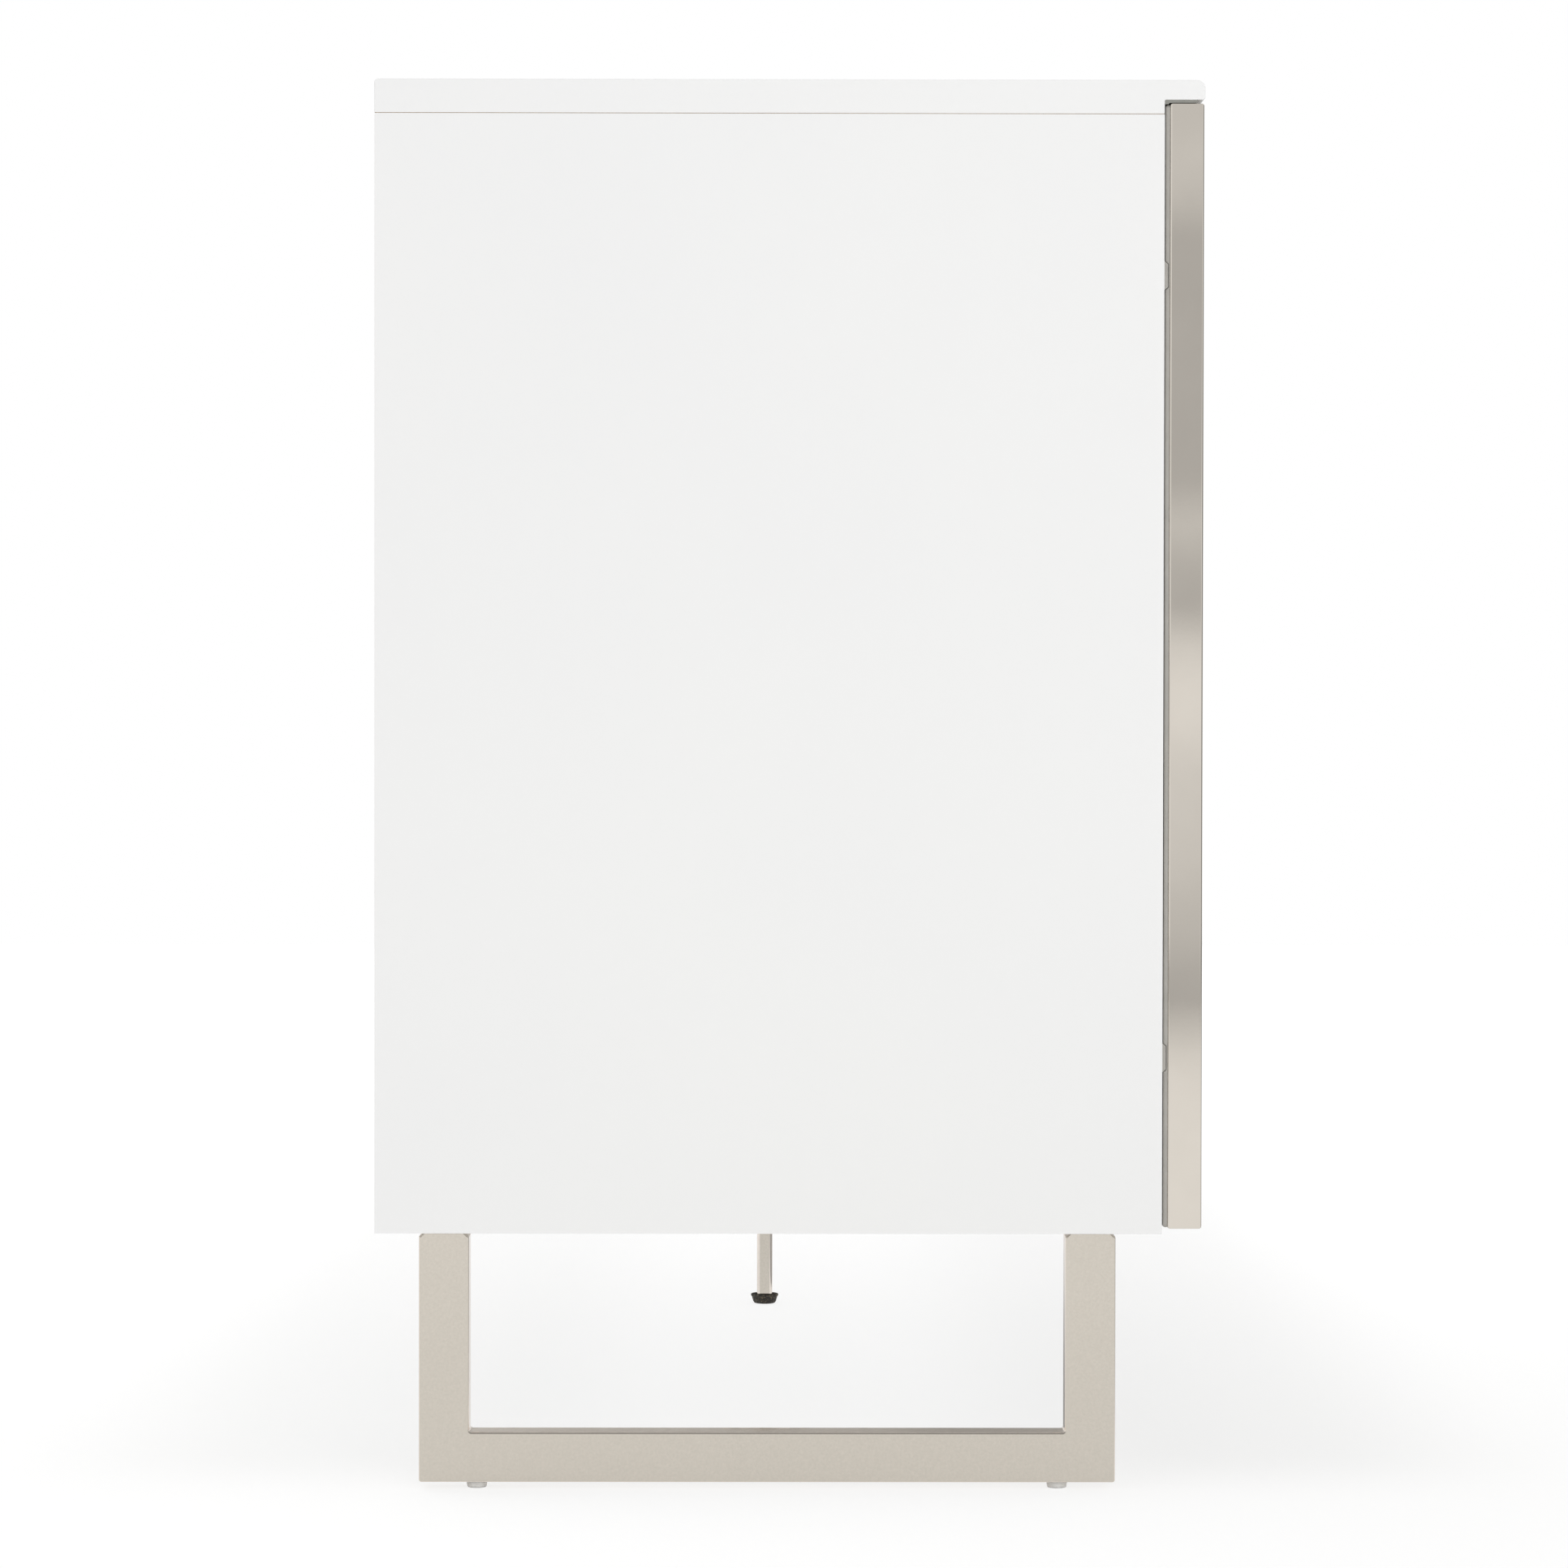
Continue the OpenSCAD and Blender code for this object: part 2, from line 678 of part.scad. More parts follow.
module left_sled_foot() {
    mirror([1, 0, 0]) sled_foot();
}

module sled_foot_screws() {
    color("silver") both_ends() for (x = mount_screw_x, y = post_mid_y) {
        rod_z([x, y, under_z - mount_t], foot_screw_d, mount_t + foot_screw_grip);
        rod_z([x, y, under_z - mount_t - foot_head_h], foot_head_d, foot_head_h);
    }
}

module sled_glides() {
    color("gainsboro") both_ends() for (y = glide_y) {
        translate([glide_x, y, 0]) cylinder(d1 = glide_tip_d, d2 = glide_d, h = glide_h);
        rod_z([glide_x, y, glide_h - SKIN], stem_d, stem_len + SKIN);
    }
}

module centre_leg() {
    h = leg_plate_w / 2;
    color("tan") difference() {
        union() {
            span([-leg_w / 2, sled_mid_y - leg_w / 2, leg_bottom_z],
                [leg_w / 2, sled_mid_y + leg_w / 2, under_z - mount_t]);
            span([-h, sled_mid_y - h, under_z - mount_t], [h, sled_mid_y + h, under_z]);
        }
        span([-leg_w / 2 + leg_wall, sled_mid_y - leg_w / 2 + leg_wall, leg_bottom_z - SKIN],
            [leg_w / 2 - leg_wall, sled_mid_y + leg_w / 2 - leg_wall, under_z - mount_t]);
        for (sx = [-1, 1], sy = [-1, 1])
            rod_z([sx * leg_screw_off, sled_mid_y + sy * leg_screw_off, under_z - mount_t - SKIN],
                small_screw_d, mount_t + 2 * SKIN);
    }
}

module centre_leg_screws() {
    color("silver") for (sx = [-1, 1], sy = [-1, 1])
        translate([sx * leg_screw_off, sled_mid_y + sy * leg_screw_off, under_z - mount_t]) {
            rod_z([0, 0, 0], small_screw_d, mount_t + small_screw_grip);
            rod_z([0, 0, -cap_h], small_head_d, cap_h);
        }
}

module centre_leg_foot() {
    h = (leg_w + free_play) / 2;
    color("black") difference() {
        translate([0, sled_mid_y, 0]) cylinder(d1 = foot_tip_d, d2 = foot_d, h = foot_h);
        span([-h, sled_mid_y - h, leg_bottom_z], [h, sled_mid_y + h, foot_h + SKIN]);
    }
}

// ---------- hinges, fixed half ----------

// One mounting plate in its door's frame, on the wall at p.
module hinge_plate(p, z) {
    spine_p = arm_face_p - sheet_t;
    wing_half_h = plate_pitch / 2 + wing_over;
    difference() {
        union() {
            span([p, spine_front_q, z - spine_w / 2], [spine_p, spine_back_q, z + spine_w / 2]);
            span([p, plate_setback - wing_w / 2, z - wing_half_h],
                [p + wing_t, plate_setback + wing_w / 2, z + wing_half_h]);
        }
        for (s = [-1, 1])
            rod_x([p - SKIN, plate_setback, z + s * plate_pitch / 2], plate_screw_d,
                wing_t + 2 * SKIN);
        for (q = arm_screw_q)
            rod_x([spine_p - arm_screw_grip, q, z], arm_screw_d, arm_screw_grip + SKIN);
    }
}
module hinge_plates() {
    color("silver") for (i = DOORS) at_door(i) for (z = hinge_z) hinge_plate(WALL[i], z);
}

module hinge_plate_screws() {
    color("silver") for (i = DOORS) at_door(i) for (z = hinge_z, s = [-1, 1]) {
        rod_x([WALL[i] - plate_screw_grip, plate_setback, z + s * plate_pitch / 2],
            plate_screw_d, plate_screw_grip + wing_t);
        rod_x([WALL[i] + wing_t, plate_setback, z + s * plate_pitch / 2],
            plate_head_d, cap_h);
    }
}

// A point inside the arm's boss, as shares of its radius.
function in_boss(u, v) = [arm_pivot_in + arm_boss_r * u, arm_pivot_back + arm_boss_r * v];

// Side of the arm's nose: a plate that runs to the arm pin's boss, seen along the pin.
module nose_outline() {
    polygon([[nose_root_p, nose_back_q], [arm_face_p, nose_back_q], [arm_face_p, arm_face_q],
        in_boss(0.5, 0.8), in_boss(-0.6, -0.7), [nose_root_p, arm_front_q]]);
}

// One arm in its door's frame: a pressed channel with a cranked nose and its pin.
module hinge_arm(z) {
    difference() {
        union() {
            span([arm_face_p - sheet_t, arm_face_q, z - cheek_out],
                [arm_face_p, arm_back_q, z + cheek_out]);
            for (s = [-1, 1]) {
                low = s > 0 ? cheek_in : -cheek_out;
                span([nose_root_p, arm_face_q, z + low],
                    [arm_face_p, arm_back_q, z + low + sheet_t]);
                translate([0, 0, z + low]) linear_extrude(sheet_t) nose_outline();
                rod_z([arm_pivot_in, arm_pivot_back, z + low], 2 * arm_boss_r, sheet_t);
            }
            rod_z([arm_pivot_in, arm_pivot_back, z - cheek_out - arm_pin_proud], arm_pin_d,
                2 * (cheek_out + arm_pin_proud));
        }
        for (q = arm_screw_q)
            rod_x([arm_face_p - sheet_t - SKIN, q, z], arm_screw_d, sheet_t + 2 * SKIN);
    }
}
module hinge_arms() {
    color("silver") for (i = DOORS) at_door(i) for (z = hinge_z) hinge_arm(z);
}

module hinge_arm_screws() {
    color("silver") for (i = DOORS) at_door(i) for (z = hinge_z, q = arm_screw_q) {
        rod_x([arm_face_p - sheet_t - arm_screw_grip, q, z], arm_screw_d,
            arm_screw_grip + sheet_t);
        rod_x([arm_face_p, q, z], arm_head_d, cap_h);
    }
}

// ---------- touch latches, fixed half ----------

module latch_screw_bores() {
    for (s = [-1, 1])
        rod_z([latch_p + s * latch_screw_off, latch_screw_q, roof_z - SKIN],
            small_screw_d, small_screw_grip + SKIN);
}

module latch_housings() {
    color("white") for (i = DOORS) at_door(i) difference() {
        union() {
            span([latch_p - latch_w / 2, housing_q, roof_z - latch_h],
                [latch_p + latch_w / 2, housing_q + latch_len, roof_z]);
            span([latch_p - latch_w / 2 - ear_w, ear_q, roof_z - ear_t],
                [latch_p + latch_w / 2 + ear_w, ear_q + ear_len, roof_z]);
        }
        rod_y([latch_p, housing_q - SKIN, latch_z], plunger_d + 2 * free_play,
            plunger_bore_len + SKIN);
        for (s = [-1, 1])
            rod_z([latch_p + s * latch_screw_off, latch_screw_q, roof_z - ear_t - SKIN],
                small_screw_d, ear_t + 2 * SKIN);
    }
}

module latch_screws() {
    color("silver") for (i = DOORS, s = [-1, 1]) at_door(i)
        translate([latch_p + s * latch_screw_off, latch_screw_q, roof_z - ear_t]) {
            rod_z([0, 0, 0], small_screw_d, ear_t + small_screw_grip);
            rod_z([0, 0, -cap_h], latch_head_d, cap_h);
        }
}

module latch_plunger(i) {
    color("gray") at_door(i) {
        rod_y([latch_p, tip_q, latch_z], tip_d, tip_h);
        rod_y([latch_p, tip_q + tip_h - BED, latch_z], plunger_d, plunger_rod_len + BED);
    }
}

// ---------- doors ----------

// Plan of a door frame, with rounded corners.
module door_outline() {
    r = rail_r;
    polygon(concat(
        arc(r, door_front_q + r, r, 180, 270, 6),
        arc(door_w - r, door_front_q + r, r, 270, 360, 6),
        arc(door_w - r, door_back_q - r, r, 0, 90, 6),
        arc(r, door_back_q - r, r, 90, 180, 6)));
}

// The hollow ring that the four tubes of a door frame make together.
module door_ring() {
    w = rail_wall;
    difference() {
        translate([0, 0, door_bottom_z]) linear_extrude(door_h) door_outline();
        span([rail_w, door_front_q - SKIN, door_bottom_z + rail_w],
            [door_w - rail_w, door_back_q + SKIN, door_top_z - rail_w]);
        difference() {
            span([w, door_front_q + w, door_bottom_z + w],
                [door_w - w, door_back_q - w, door_top_z - w]);
            span([rail_w - w, door_front_q, door_bottom_z + rail_w - w],
                [door_w - rail_w + w, door_back_q, door_top_z - rail_w + w]);
        }
    }
}

// One tube of the ring: what lies within a mitred outline (X and Z).
module mitred(outline) {
    intersection() {
        door_ring();
        translate([0, door_back_q + SKIN, 0]) rotate([90, 0, 0])
            linear_extrude(door_t + 2 * SKIN) polygon(outline);
    }
}

// Frame welded from four mitred tubes and the tabs that hold the white panel, with pockets
// for the hinge cups.
module door_frame(i) {
    w = rail_wall;
    r = rail_w;
    g = weld_gap;
    low = door_bottom_z;
    high = door_top_z;
    color("tan") at_door(i) difference() {
        union() {
            mitred([[0, low], [r, low + r], [r, high - r], [0, high]]);
            mitred([[door_w, low], [door_w - r, low + r], [door_w - r, high - r],
                [door_w, high]]);
            mitred([[g, low], [door_w - g, low], [door_w - g - r, low + r], [g + r, low + r]]);
            mitred([[g, high], [door_w - g, high], [door_w - g - r, high - r],
                [g + r, high - r]]);
            for (t = tab_spots) at_tab(t)
                span([g, infill_back_q, -tab_w / 2],
                    [tab_len, infill_back_q + tab_t, tab_w / 2]);
        }
        for (z = hinge_z) {
            span([pocket_near, door_back_q - 2 * w, z - pocket_h / 2],
                [pocket_far, door_back_q + SKIN, z + pocket_h / 2]);
            for (s = [-1, 1])
                rod_y([cup_pivot_in, door_back_q - 2 * w, z + s * cup_screw_z], small_screw_d,
                    2 * w + SKIN);
        }
        for (t = tab_spots) at_tab(t)
            rod_y([tab_screw_in, infill_back_q - SKIN, 0], tab_screw_d, tab_t + 2 * SKIN);
    }
}

module door_panel(i) {
    c = free_play;
    color("white") at_door(i) difference() {
        span([rail_w + c, infill_front_q, door_bottom_z + rail_w + c],
            [door_w - rail_w - c, infill_back_q, door_top_z - rail_w - c]);
        for (t = tab_spots) at_tab(t)
            rod_y([tab_screw_in, infill_back_q - tab_screw_grip, 0], tab_screw_d,
                tab_screw_grip + SKIN);
    }
}

// Screws of the white panel and of the hinge cups.
module door_screws(i) {
    color("silver") at_door(i) {
        for (t = tab_spots) at_tab(t) {
            rod_y([tab_screw_in, infill_back_q - tab_screw_grip, 0], tab_screw_d,
                tab_screw_grip + tab_t);
            rod_y([tab_screw_in, infill_back_q + tab_t, 0], tab_screw_head_d, cap_h);
        }
        for (z = hinge_z, s = [-1, 1]) {
            rod_y([cup_pivot_in, door_back_q - cup_screw_grip, z + s * cup_screw_z],
                small_screw_d, cup_screw_grip + flange_t);
            rod_y([cup_pivot_in, door_back_q + flange_t, z + s * cup_screw_z],
                cup_head_d, cup_head_h);
        }
    }
}

// One cup: a saddle let into the frame, held by a flange on the frame's rear face.
module hinge_cup(z) {
    difference() {
        union() {
            for (s = [-1, 1]) {
                low = s > 0 ? cup_in : -cup_out;
                flange_low = s > 0 ? cup_in : -flange_half_h;
                span([cup_near, door_back_q - cup_deep, z + low],
                    [cup_far, door_back_q + flange_t / 2, z + low + sheet_t]);
                span([flange_near, door_back_q, z + flange_low],
                    [flange_far, door_back_q + flange_t, z + flange_low + flange_half_h - cup_in]);
            }
            span([cup_near, door_back_q - cup_deep - sheet_t, z - cup_out],
                [cup_far, door_back_q - cup_deep, z + cup_out]);
            rod_z([cup_pivot_in, door_back_q - cup_pivot_deep, z - cup_out], cup_pin_d,
                2 * cup_out);
        }
        for (s = [-1, 1])
            rod_y([cup_pivot_in, door_back_q - SKIN, z + s * cup_screw_z], small_screw_d,
                flange_t + 2 * SKIN);
    }
}
module door_hinge_cups(i) {
    color("silver") at_door(i) for (z = hinge_z) hinge_cup(z);
}

module door_strike_plate(i) {
    color("silver") at_door(i) rod_y([latch_p, door_back_q, latch_z], strike_d, strike_t);
}

// One link: a flat bar with an eye at each end, from the arm pin to the cup pin.
module hinge_link(z) {
    translate([cup_pivot_in, door_back_q - cup_pivot_deep, z - link_h / 2])
        rotate([0, 0, link_turn]) difference() {
            union() {
                span([0, -link_t / 2, 0], [link_len, link_t / 2, link_h]);
                rod_z([0, 0, 0], 2 * cup_eye_r, link_h);
                rod_z([link_len, 0, 0], 2 * arm_eye_r, link_h);
            }
            rod_z([0, 0, -SKIN], cup_pin_d + 2 * pin_play, link_h + 2 * SKIN);
            rod_z([link_len, 0, -SKIN], arm_pin_d + 2 * pin_play, link_h + 2 * SKIN);
        }
}
module door_hinge_links(i) {
    color("silver") at_door(i) for (z = hinge_z) hinge_link(z);
}

// ---------- the nodes ----------

top_panel();
top_lip();
left_side_panel();
right_side_panel();
bottom_panel();
centre_partition();
left_back_panel();
right_back_panel();
left_shelf();
right_shelf();
shelf_pins();
cable_grommets();
cam_discs();
cam_bolts();
partition_screws();
back_panel_screws();
left_sled_foot();
right_sled_foot();
sled_foot_screws();
sled_glides();
centre_leg();
centre_leg_screws();
centre_leg_foot();
hinge_plates();
hinge_plate_screws();
hinge_arms();
hinge_arm_screws();
latch_housings();
latch_screws();
door_frame(0);  // door_1_frame
door_panel(0);  // door_1_panel
door_screws(0);  // door_1_screws
door_hinge_cups(0);  // door_1_hinge_cups
door_strike_plate(0);  // door_1_strike_plate
door_hinge_links(0);  // door_1_hinge_links
latch_plunger(0);  // door_1_latch_plunger
door_frame(1);  // door_2_frame
door_panel(1);  // door_2_panel
door_screws(1);  // door_2_screws
door_hinge_cups(1);  // door_2_hinge_cups
door_strike_plate(1);  // door_2_strike_plate
door_hinge_links(1);  // door_2_hinge_links
latch_plunger(1);  // door_2_latch_plunger
door_frame(2);  // door_3_frame
door_panel(2);  // door_3_panel
door_screws(2);  // door_3_screws
door_hinge_cups(2);  // door_3_hinge_cups
door_strike_plate(2);  // door_3_strike_plate
door_hinge_links(2);  // door_3_hinge_links
latch_plunger(2);  // door_3_latch_plunger
door_frame(3);  // door_4_frame
door_panel(3);  // door_4_panel
door_screws(3);  // door_4_screws
door_hinge_cups(3);  // door_4_hinge_cups
door_strike_plate(3);  // door_4_strike_plate
door_hinge_links(3);  // door_4_hinge_links
latch_plunger(3);  // door_4_latch_plunger
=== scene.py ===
"""Looks of a low white cabinet with steel-framed doors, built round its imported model."""
import json
import math

import bmesh
import bpy
import numpy as np
from mathutils import Matrix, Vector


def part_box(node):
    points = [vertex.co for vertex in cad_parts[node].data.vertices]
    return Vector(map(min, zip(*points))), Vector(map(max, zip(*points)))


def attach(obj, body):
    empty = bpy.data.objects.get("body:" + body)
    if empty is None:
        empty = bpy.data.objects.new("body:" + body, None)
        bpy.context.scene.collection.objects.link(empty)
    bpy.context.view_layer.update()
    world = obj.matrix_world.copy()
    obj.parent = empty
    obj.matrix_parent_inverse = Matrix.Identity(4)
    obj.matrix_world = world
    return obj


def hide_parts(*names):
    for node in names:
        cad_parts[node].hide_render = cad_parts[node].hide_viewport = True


bl_info = {
    "name": "Steel-framed low cabinet",
    "version": (1, 0, 0),
    "blender": (4, 5, 0),
    "location": "3D View > Sidebar > Cabinet",
    "description": "Dresses the packed cabinet in lacquer, steel, plastic and rubber",
    "category": "Object",
}

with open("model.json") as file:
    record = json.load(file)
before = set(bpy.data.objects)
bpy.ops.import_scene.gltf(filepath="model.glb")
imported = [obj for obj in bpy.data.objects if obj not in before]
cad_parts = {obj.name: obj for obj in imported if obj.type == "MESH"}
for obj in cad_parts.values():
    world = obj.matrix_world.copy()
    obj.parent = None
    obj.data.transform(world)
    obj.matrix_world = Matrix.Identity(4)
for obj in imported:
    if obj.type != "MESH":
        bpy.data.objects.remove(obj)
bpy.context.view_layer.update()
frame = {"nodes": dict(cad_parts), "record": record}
RECORD = frame["record"]
BODY_OF = {n: b for b, nodes in RECORD["behaviour"]["bodies"].items() for n in nodes}
DOORS = (1, 2, 3, 4)
HINGED_LEFT = {1: True, 2: False, 3: True, 4: False}
MM = 0.001
# points of a CAD mesh this close are one where its solids are told apart, and this close
# where a copy is merged
SAME_POINT, DOUBLE = 2e-6, 1e-6
# share by which an outline's corners are rounder than the ease that draws them in
DRAW_ROOM = 1.05
# depth inside its board's box past which a face belongs to a bore
BORE_DEPTH = 0.4 * MM
# angles in degrees: faces this near to flat become one, a copy's edges stay sharp past the
# next, and are eased past the last
FLAT, SHARP, EASED = 0.5, 30, 40
# pull of large faces on the normals, of 100, where 50 is even
FLAT_PULL = 90
# distance from the middle past which a fitting is on an outer board, and not the partition
OUTER_BOARD = 0.4


# ---------- small tools ----------

def linear(hex_colour):
    """Linear RGBA of an sRGB hex value."""
    parts = np.array([int(hex_colour[k:k + 2], 16) for k in (1, 3, 5)]) / 255
    low = parts / 12.92
    high = ((parts + 0.055) / 1.055) ** 2.4
    return (*np.where(parts <= 0.04045, low, high).tolist(), 1.0)


def corners(node):
    """Lowest and highest corner of a CAD node, as arrays."""
    low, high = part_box(node)
    return np.array(low), np.array(high)


def solids(node):
    """Lowest and highest corners of each separate solid of a CAD node. Points that coincide
    are one, and each takes the lowest number among its neighbours until none changes."""
    mesh = frame["nodes"][node].data
    points = np.empty(3 * len(mesh.vertices))
    mesh.vertices.foreach_get("co", points)
    points = points.reshape(-1, 3)
    edges = np.empty(2 * len(mesh.edges), np.int32)
    mesh.edges.foreach_get("vertices", edges)
    _, first, same = np.unique(np.round(points / SAME_POINT).astype(np.int64), axis=0,
                               return_index=True, return_inverse=True)
    points, edges = points[first], same.ravel()[edges.reshape(-1, 2)]
    number, before = np.arange(len(points)), None
    while before is None or (number != before).any():
        before = number.copy()
        lowest = number[edges].min(1)
        np.minimum.at(number, edges[:, 0], lowest)
        np.minimum.at(number, edges[:, 1], lowest)
        number = number[number]
    groups = [points[number == k] for k in np.unique(number)]
    return sorted(((g.min(0), g.max(0)) for g in groups), key=lambda c: tuple(c[0].round(5)))


# ---------- surfaces ----------

def rounded(points, radii, steps=5):
    """Closed outline with round corners: at each corner of the polygon, an arc that touches
    both edges, turned evenly from the end of one edge to the start of the next."""
    corner = np.array(points, float)
    radius = np.broadcast_to(np.array(radii, float), len(corner))[:, None]
    back = np.roll(corner, 1, 0) - corner
    ahead = np.roll(corner, -1, 0) - corner
    back /= np.linalg.norm(back, axis=1, keepdims=True)
    ahead /= np.linalg.norm(ahead, axis=1, keepdims=True)
    half = np.arccos(np.clip((back * ahead).sum(1, keepdims=True), -1, 1)) / 2
    middle = back + ahead
    middle /= np.linalg.norm(middle, axis=1, keepdims=True)
    centre = corner + middle * radius / np.sin(half)
    start = corner + back * radius / np.tan(half) - centre
    end = corner + ahead * radius / np.tan(half) - centre
    turn = (math.pi - 2 * half)[:, :, None]
    t = np.linspace(0, 1, steps)[None, :, None]
    arc = (np.sin((1 - t) * turn) * start[:, None] + np.sin(t * turn) * end[:, None])
    return (centre[:, None] + arc / np.sin(turn)).reshape(-1, 2)


def inset(outline, by):
    """The outline moved inwards: each point goes along the line that halves its corner, so
    far that both of its edges move by the distance. A negative distance moves it out."""
    edge = np.roll(outline, -1, 0) - outline
    edge /= np.linalg.norm(edge, axis=1, keepdims=True)
    normal = np.stack([-edge[:, 1], edge[:, 0]], 1)
    before = np.roll(normal, 1, 0)
    return outline + by * (before + normal) / (1 + (before * normal).sum(1, keepdims=True))


def prism_rings(outline, low, high, ease, axes="xyz", steps=4):
    """Rings of an eased prism: the outline is carried from low to high, and over the ease at
    each end it draws in along a quarter circle. axes names the outline's two axes and then
    the axis that it is carried along, in right-handed order."""
    angle = np.linspace(0, math.pi / 2, steps)
    draw = ease * (1 - np.sin(angle))
    rise = ease * (1 - np.cos(angle))
    draws = np.concatenate([draw, draw[::-1]])
    places = np.concatenate([low + rise, high - rise[::-1]])
    flat = np.stack([inset(outline, d) for d in draws])
    along = np.broadcast_to(places[:, None, None], (*flat.shape[:2], 1))
    local = np.concatenate([flat, along], 2)
    order = [axes.index(a) for a in "xyz"]
    return local[:, :, order]


def lathe_rings(profile, centre, axis="z", sides=48):
    """Rings of a turned piece: each profile point, a radius and a height, goes round the
    axis through the centre as a circle. The heights rise from one end to the other."""
    radius, height = np.array(profile, float).T
    turn = np.linspace(0, 2 * math.pi, sides, endpoint=False)
    flat = np.stack([np.cos(turn), np.sin(turn)], 1)
    ring = radius[:, None, None] * flat[None]
    along = np.broadcast_to(height[:, None, None], (len(radius), sides, 1))
    local = np.concatenate([ring, along], 2)
    order = {"z": [0, 1, 2], "x": [2, 0, 1], "y": [1, 2, 0]}[axis]
    return local[:, :, order] + np.array(centre, float)


def skin(rings, loop=False):
    """Vertices and faces of a surface on a grid: neighbouring points of neighbouring rings
    make a four-sided face. A loop joins the last ring to the first, and otherwise a flat
    face closes each end."""
    count, size = rings.shape[:2]
    ring = np.arange(count if loop else count - 1)[:, None]
    point = np.arange(size)[None]
    after = (ring + 1) % count
    beside = (point + 1) % size
    faces = np.stack([ring * size + point, ring * size + beside,
                      after * size + beside, after * size + point], 2).reshape(-1, 4)
    faces = faces.tolist()
    if not loop:
        faces.append(list(range(size))[::-1])
        faces.append(list(range((count - 1) * size, count * size)))
    return rings.reshape(-1, 3), faces


def joined(shells):
    """One list of vertices and one of faces from several shells."""
    verts, faces, base = [], [], 0
    for points, cells in shells:
        verts.append(points)
        faces += [[base + k for k in cell] for cell in cells]
        base += len(points)
    return np.concatenate(verts), faces


def box_outline(low, high, radius, steps=4):
    """Rectangle between two corners, run round anticlockwise, with round corners."""
    (a, b), (c, d) = low, high
    return rounded([(a, b), (c, b), (c, d), (a, d)], radius, steps)


def eased_box(low, high, ease, axes="xyz"):
    """Shell of a box whose edges are all rounded by the ease: a rectangle carried along the
    last of the axes and drawn in at both ends."""
    pick = ["xyz".index(a) for a in axes]
    low, high = np.array(low)[pick], np.array(high)[pick]
    outline = box_outline(low[:2], high[:2], ease * DRAW_ROOM)
    return skin(prism_rings(outline, low[2], high[2], ease, axes))


# rings of a screw's head, as shares of its radius
HEAD_RINGS = np.array([0.06, 0.17, 0.3, 0.45, 0.58, 0.68, 0.82, 0.94, 1.0])
# shares of the head's height that the dome and the recess take
DOME, RECESS = 0.45, 0.55
# half width and half length of the recess, and the slopes of its walls, in head radii
SLOT_HALF, SLOT_SLOPE, SLOT_REACH, SLOT_END = 0.2, 0.08, 0.62, 0.14


def screw_shell(low, high, axis, sign, head, shank):
    """Shell of a pan-head screw that fills a solid's box. Head: a dome whose height falls
    with the square of the radius, less a cross recess that is deep where either the point's
    X or its Y is small and the other is within the recess. Then a straight shank down to a
    blunt point."""
    sides = 32
    pick = {"x": [1, 2, 0], "y": [2, 0, 1], "z": [0, 1, 2]}[axis]
    low, high = low[pick], high[pick]
    middle = (low + high)[:2] / 2
    radius = (high - low)[:2].min() / 2
    length = high[2] - low[2]
    turn = np.linspace(0, 2 * math.pi, sides, endpoint=False)
    share = HEAD_RINGS[:, None]
    x = radius * share * np.cos(turn)
    y = radius * share * np.sin(turn)
    narrow = np.minimum(abs(x), abs(y)) / radius
    wide = np.maximum(abs(x), abs(y)) / radius
    cross = (np.clip((SLOT_HALF - narrow) / SLOT_SLOPE, 0, 1)
             * np.clip((SLOT_REACH - wide) / SLOT_END, 0, 1))
    top = -head * DOME * share ** 2 - head * RECESS * cross
    crown = np.stack([x, y, top], 2)
    rest = np.array([[radius, -head * 0.97], [radius * 0.97, -head], [shank, -head],
                     [shank, -length + shank], [shank * 0.3, -length]])
    flat = np.stack([np.cos(turn), np.sin(turn)], 1)
    body = np.concatenate([rest[:, None, :1] * flat[None],
                           np.broadcast_to(rest[:, None, 1:], (len(rest), sides, 1))], 2)
    rings = np.concatenate([crown, body])[::-1]
    rings[:, :, 2] *= sign
    if sign < 0:
        rings = rings[:, ::-1]
    rings[:, :, :2] += middle
    rings[:, :, 2] += high[2] if sign > 0 else low[2]
    back = [pick.index(k) for k in range(3)]
    return skin(rings[:, :, back])


# ---------- pieces ----------

def linked(name, data):
    """A new object with that data, in the scene."""
    obj = bpy.data.objects.new(name, data)
    bpy.context.scene.collection.objects.link(obj)
    return obj


def face_centres(mesh):
    """Centre of each face."""
    centre = np.empty(3 * len(mesh.polygons))
    mesh.polygons.foreach_get("center", centre)
    return centre.reshape(-1, 3)


def piece(name, shell, nodes, *materials, crease=35, mask=None):
    """A finished piece: the shell in a mesh, smooth up to the crease angle, riding on its
    nodes' body in their place. The faces that the mask names take the second material."""
    verts, faces = shell
    mesh = bpy.data.meshes.new(name)
    mesh.from_pydata(verts.tolist(), [], faces)
    obj = linked(name, mesh)
    for material in materials:
        mesh.materials.append(material)
    if mask:
        mesh.polygons.foreach_set("material_index", mask(face_centres(mesh)).astype(np.int32))
    smooth(mesh, crease)
    weigh = obj.modifiers.new("Flat faces", "WEIGHTED_NORMAL")
    weigh.keep_sharp = True
    weigh.weight = FLAT_PULL
    if nodes:
        take_place(obj, nodes)
    return obj


def smooth(mesh, crease):
    """Smooth shading that stays sharp past the crease angle."""
    mesh.polygons.foreach_set("use_smooth", np.ones(len(mesh.polygons), bool))
    mesh.set_sharp_from_angle(angle=math.radians(crease))


def take_place(obj, nodes):
    """The piece rides on the nodes' body and stands for them."""
    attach(obj, BODY_OF[nodes[0]])
    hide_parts(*nodes)


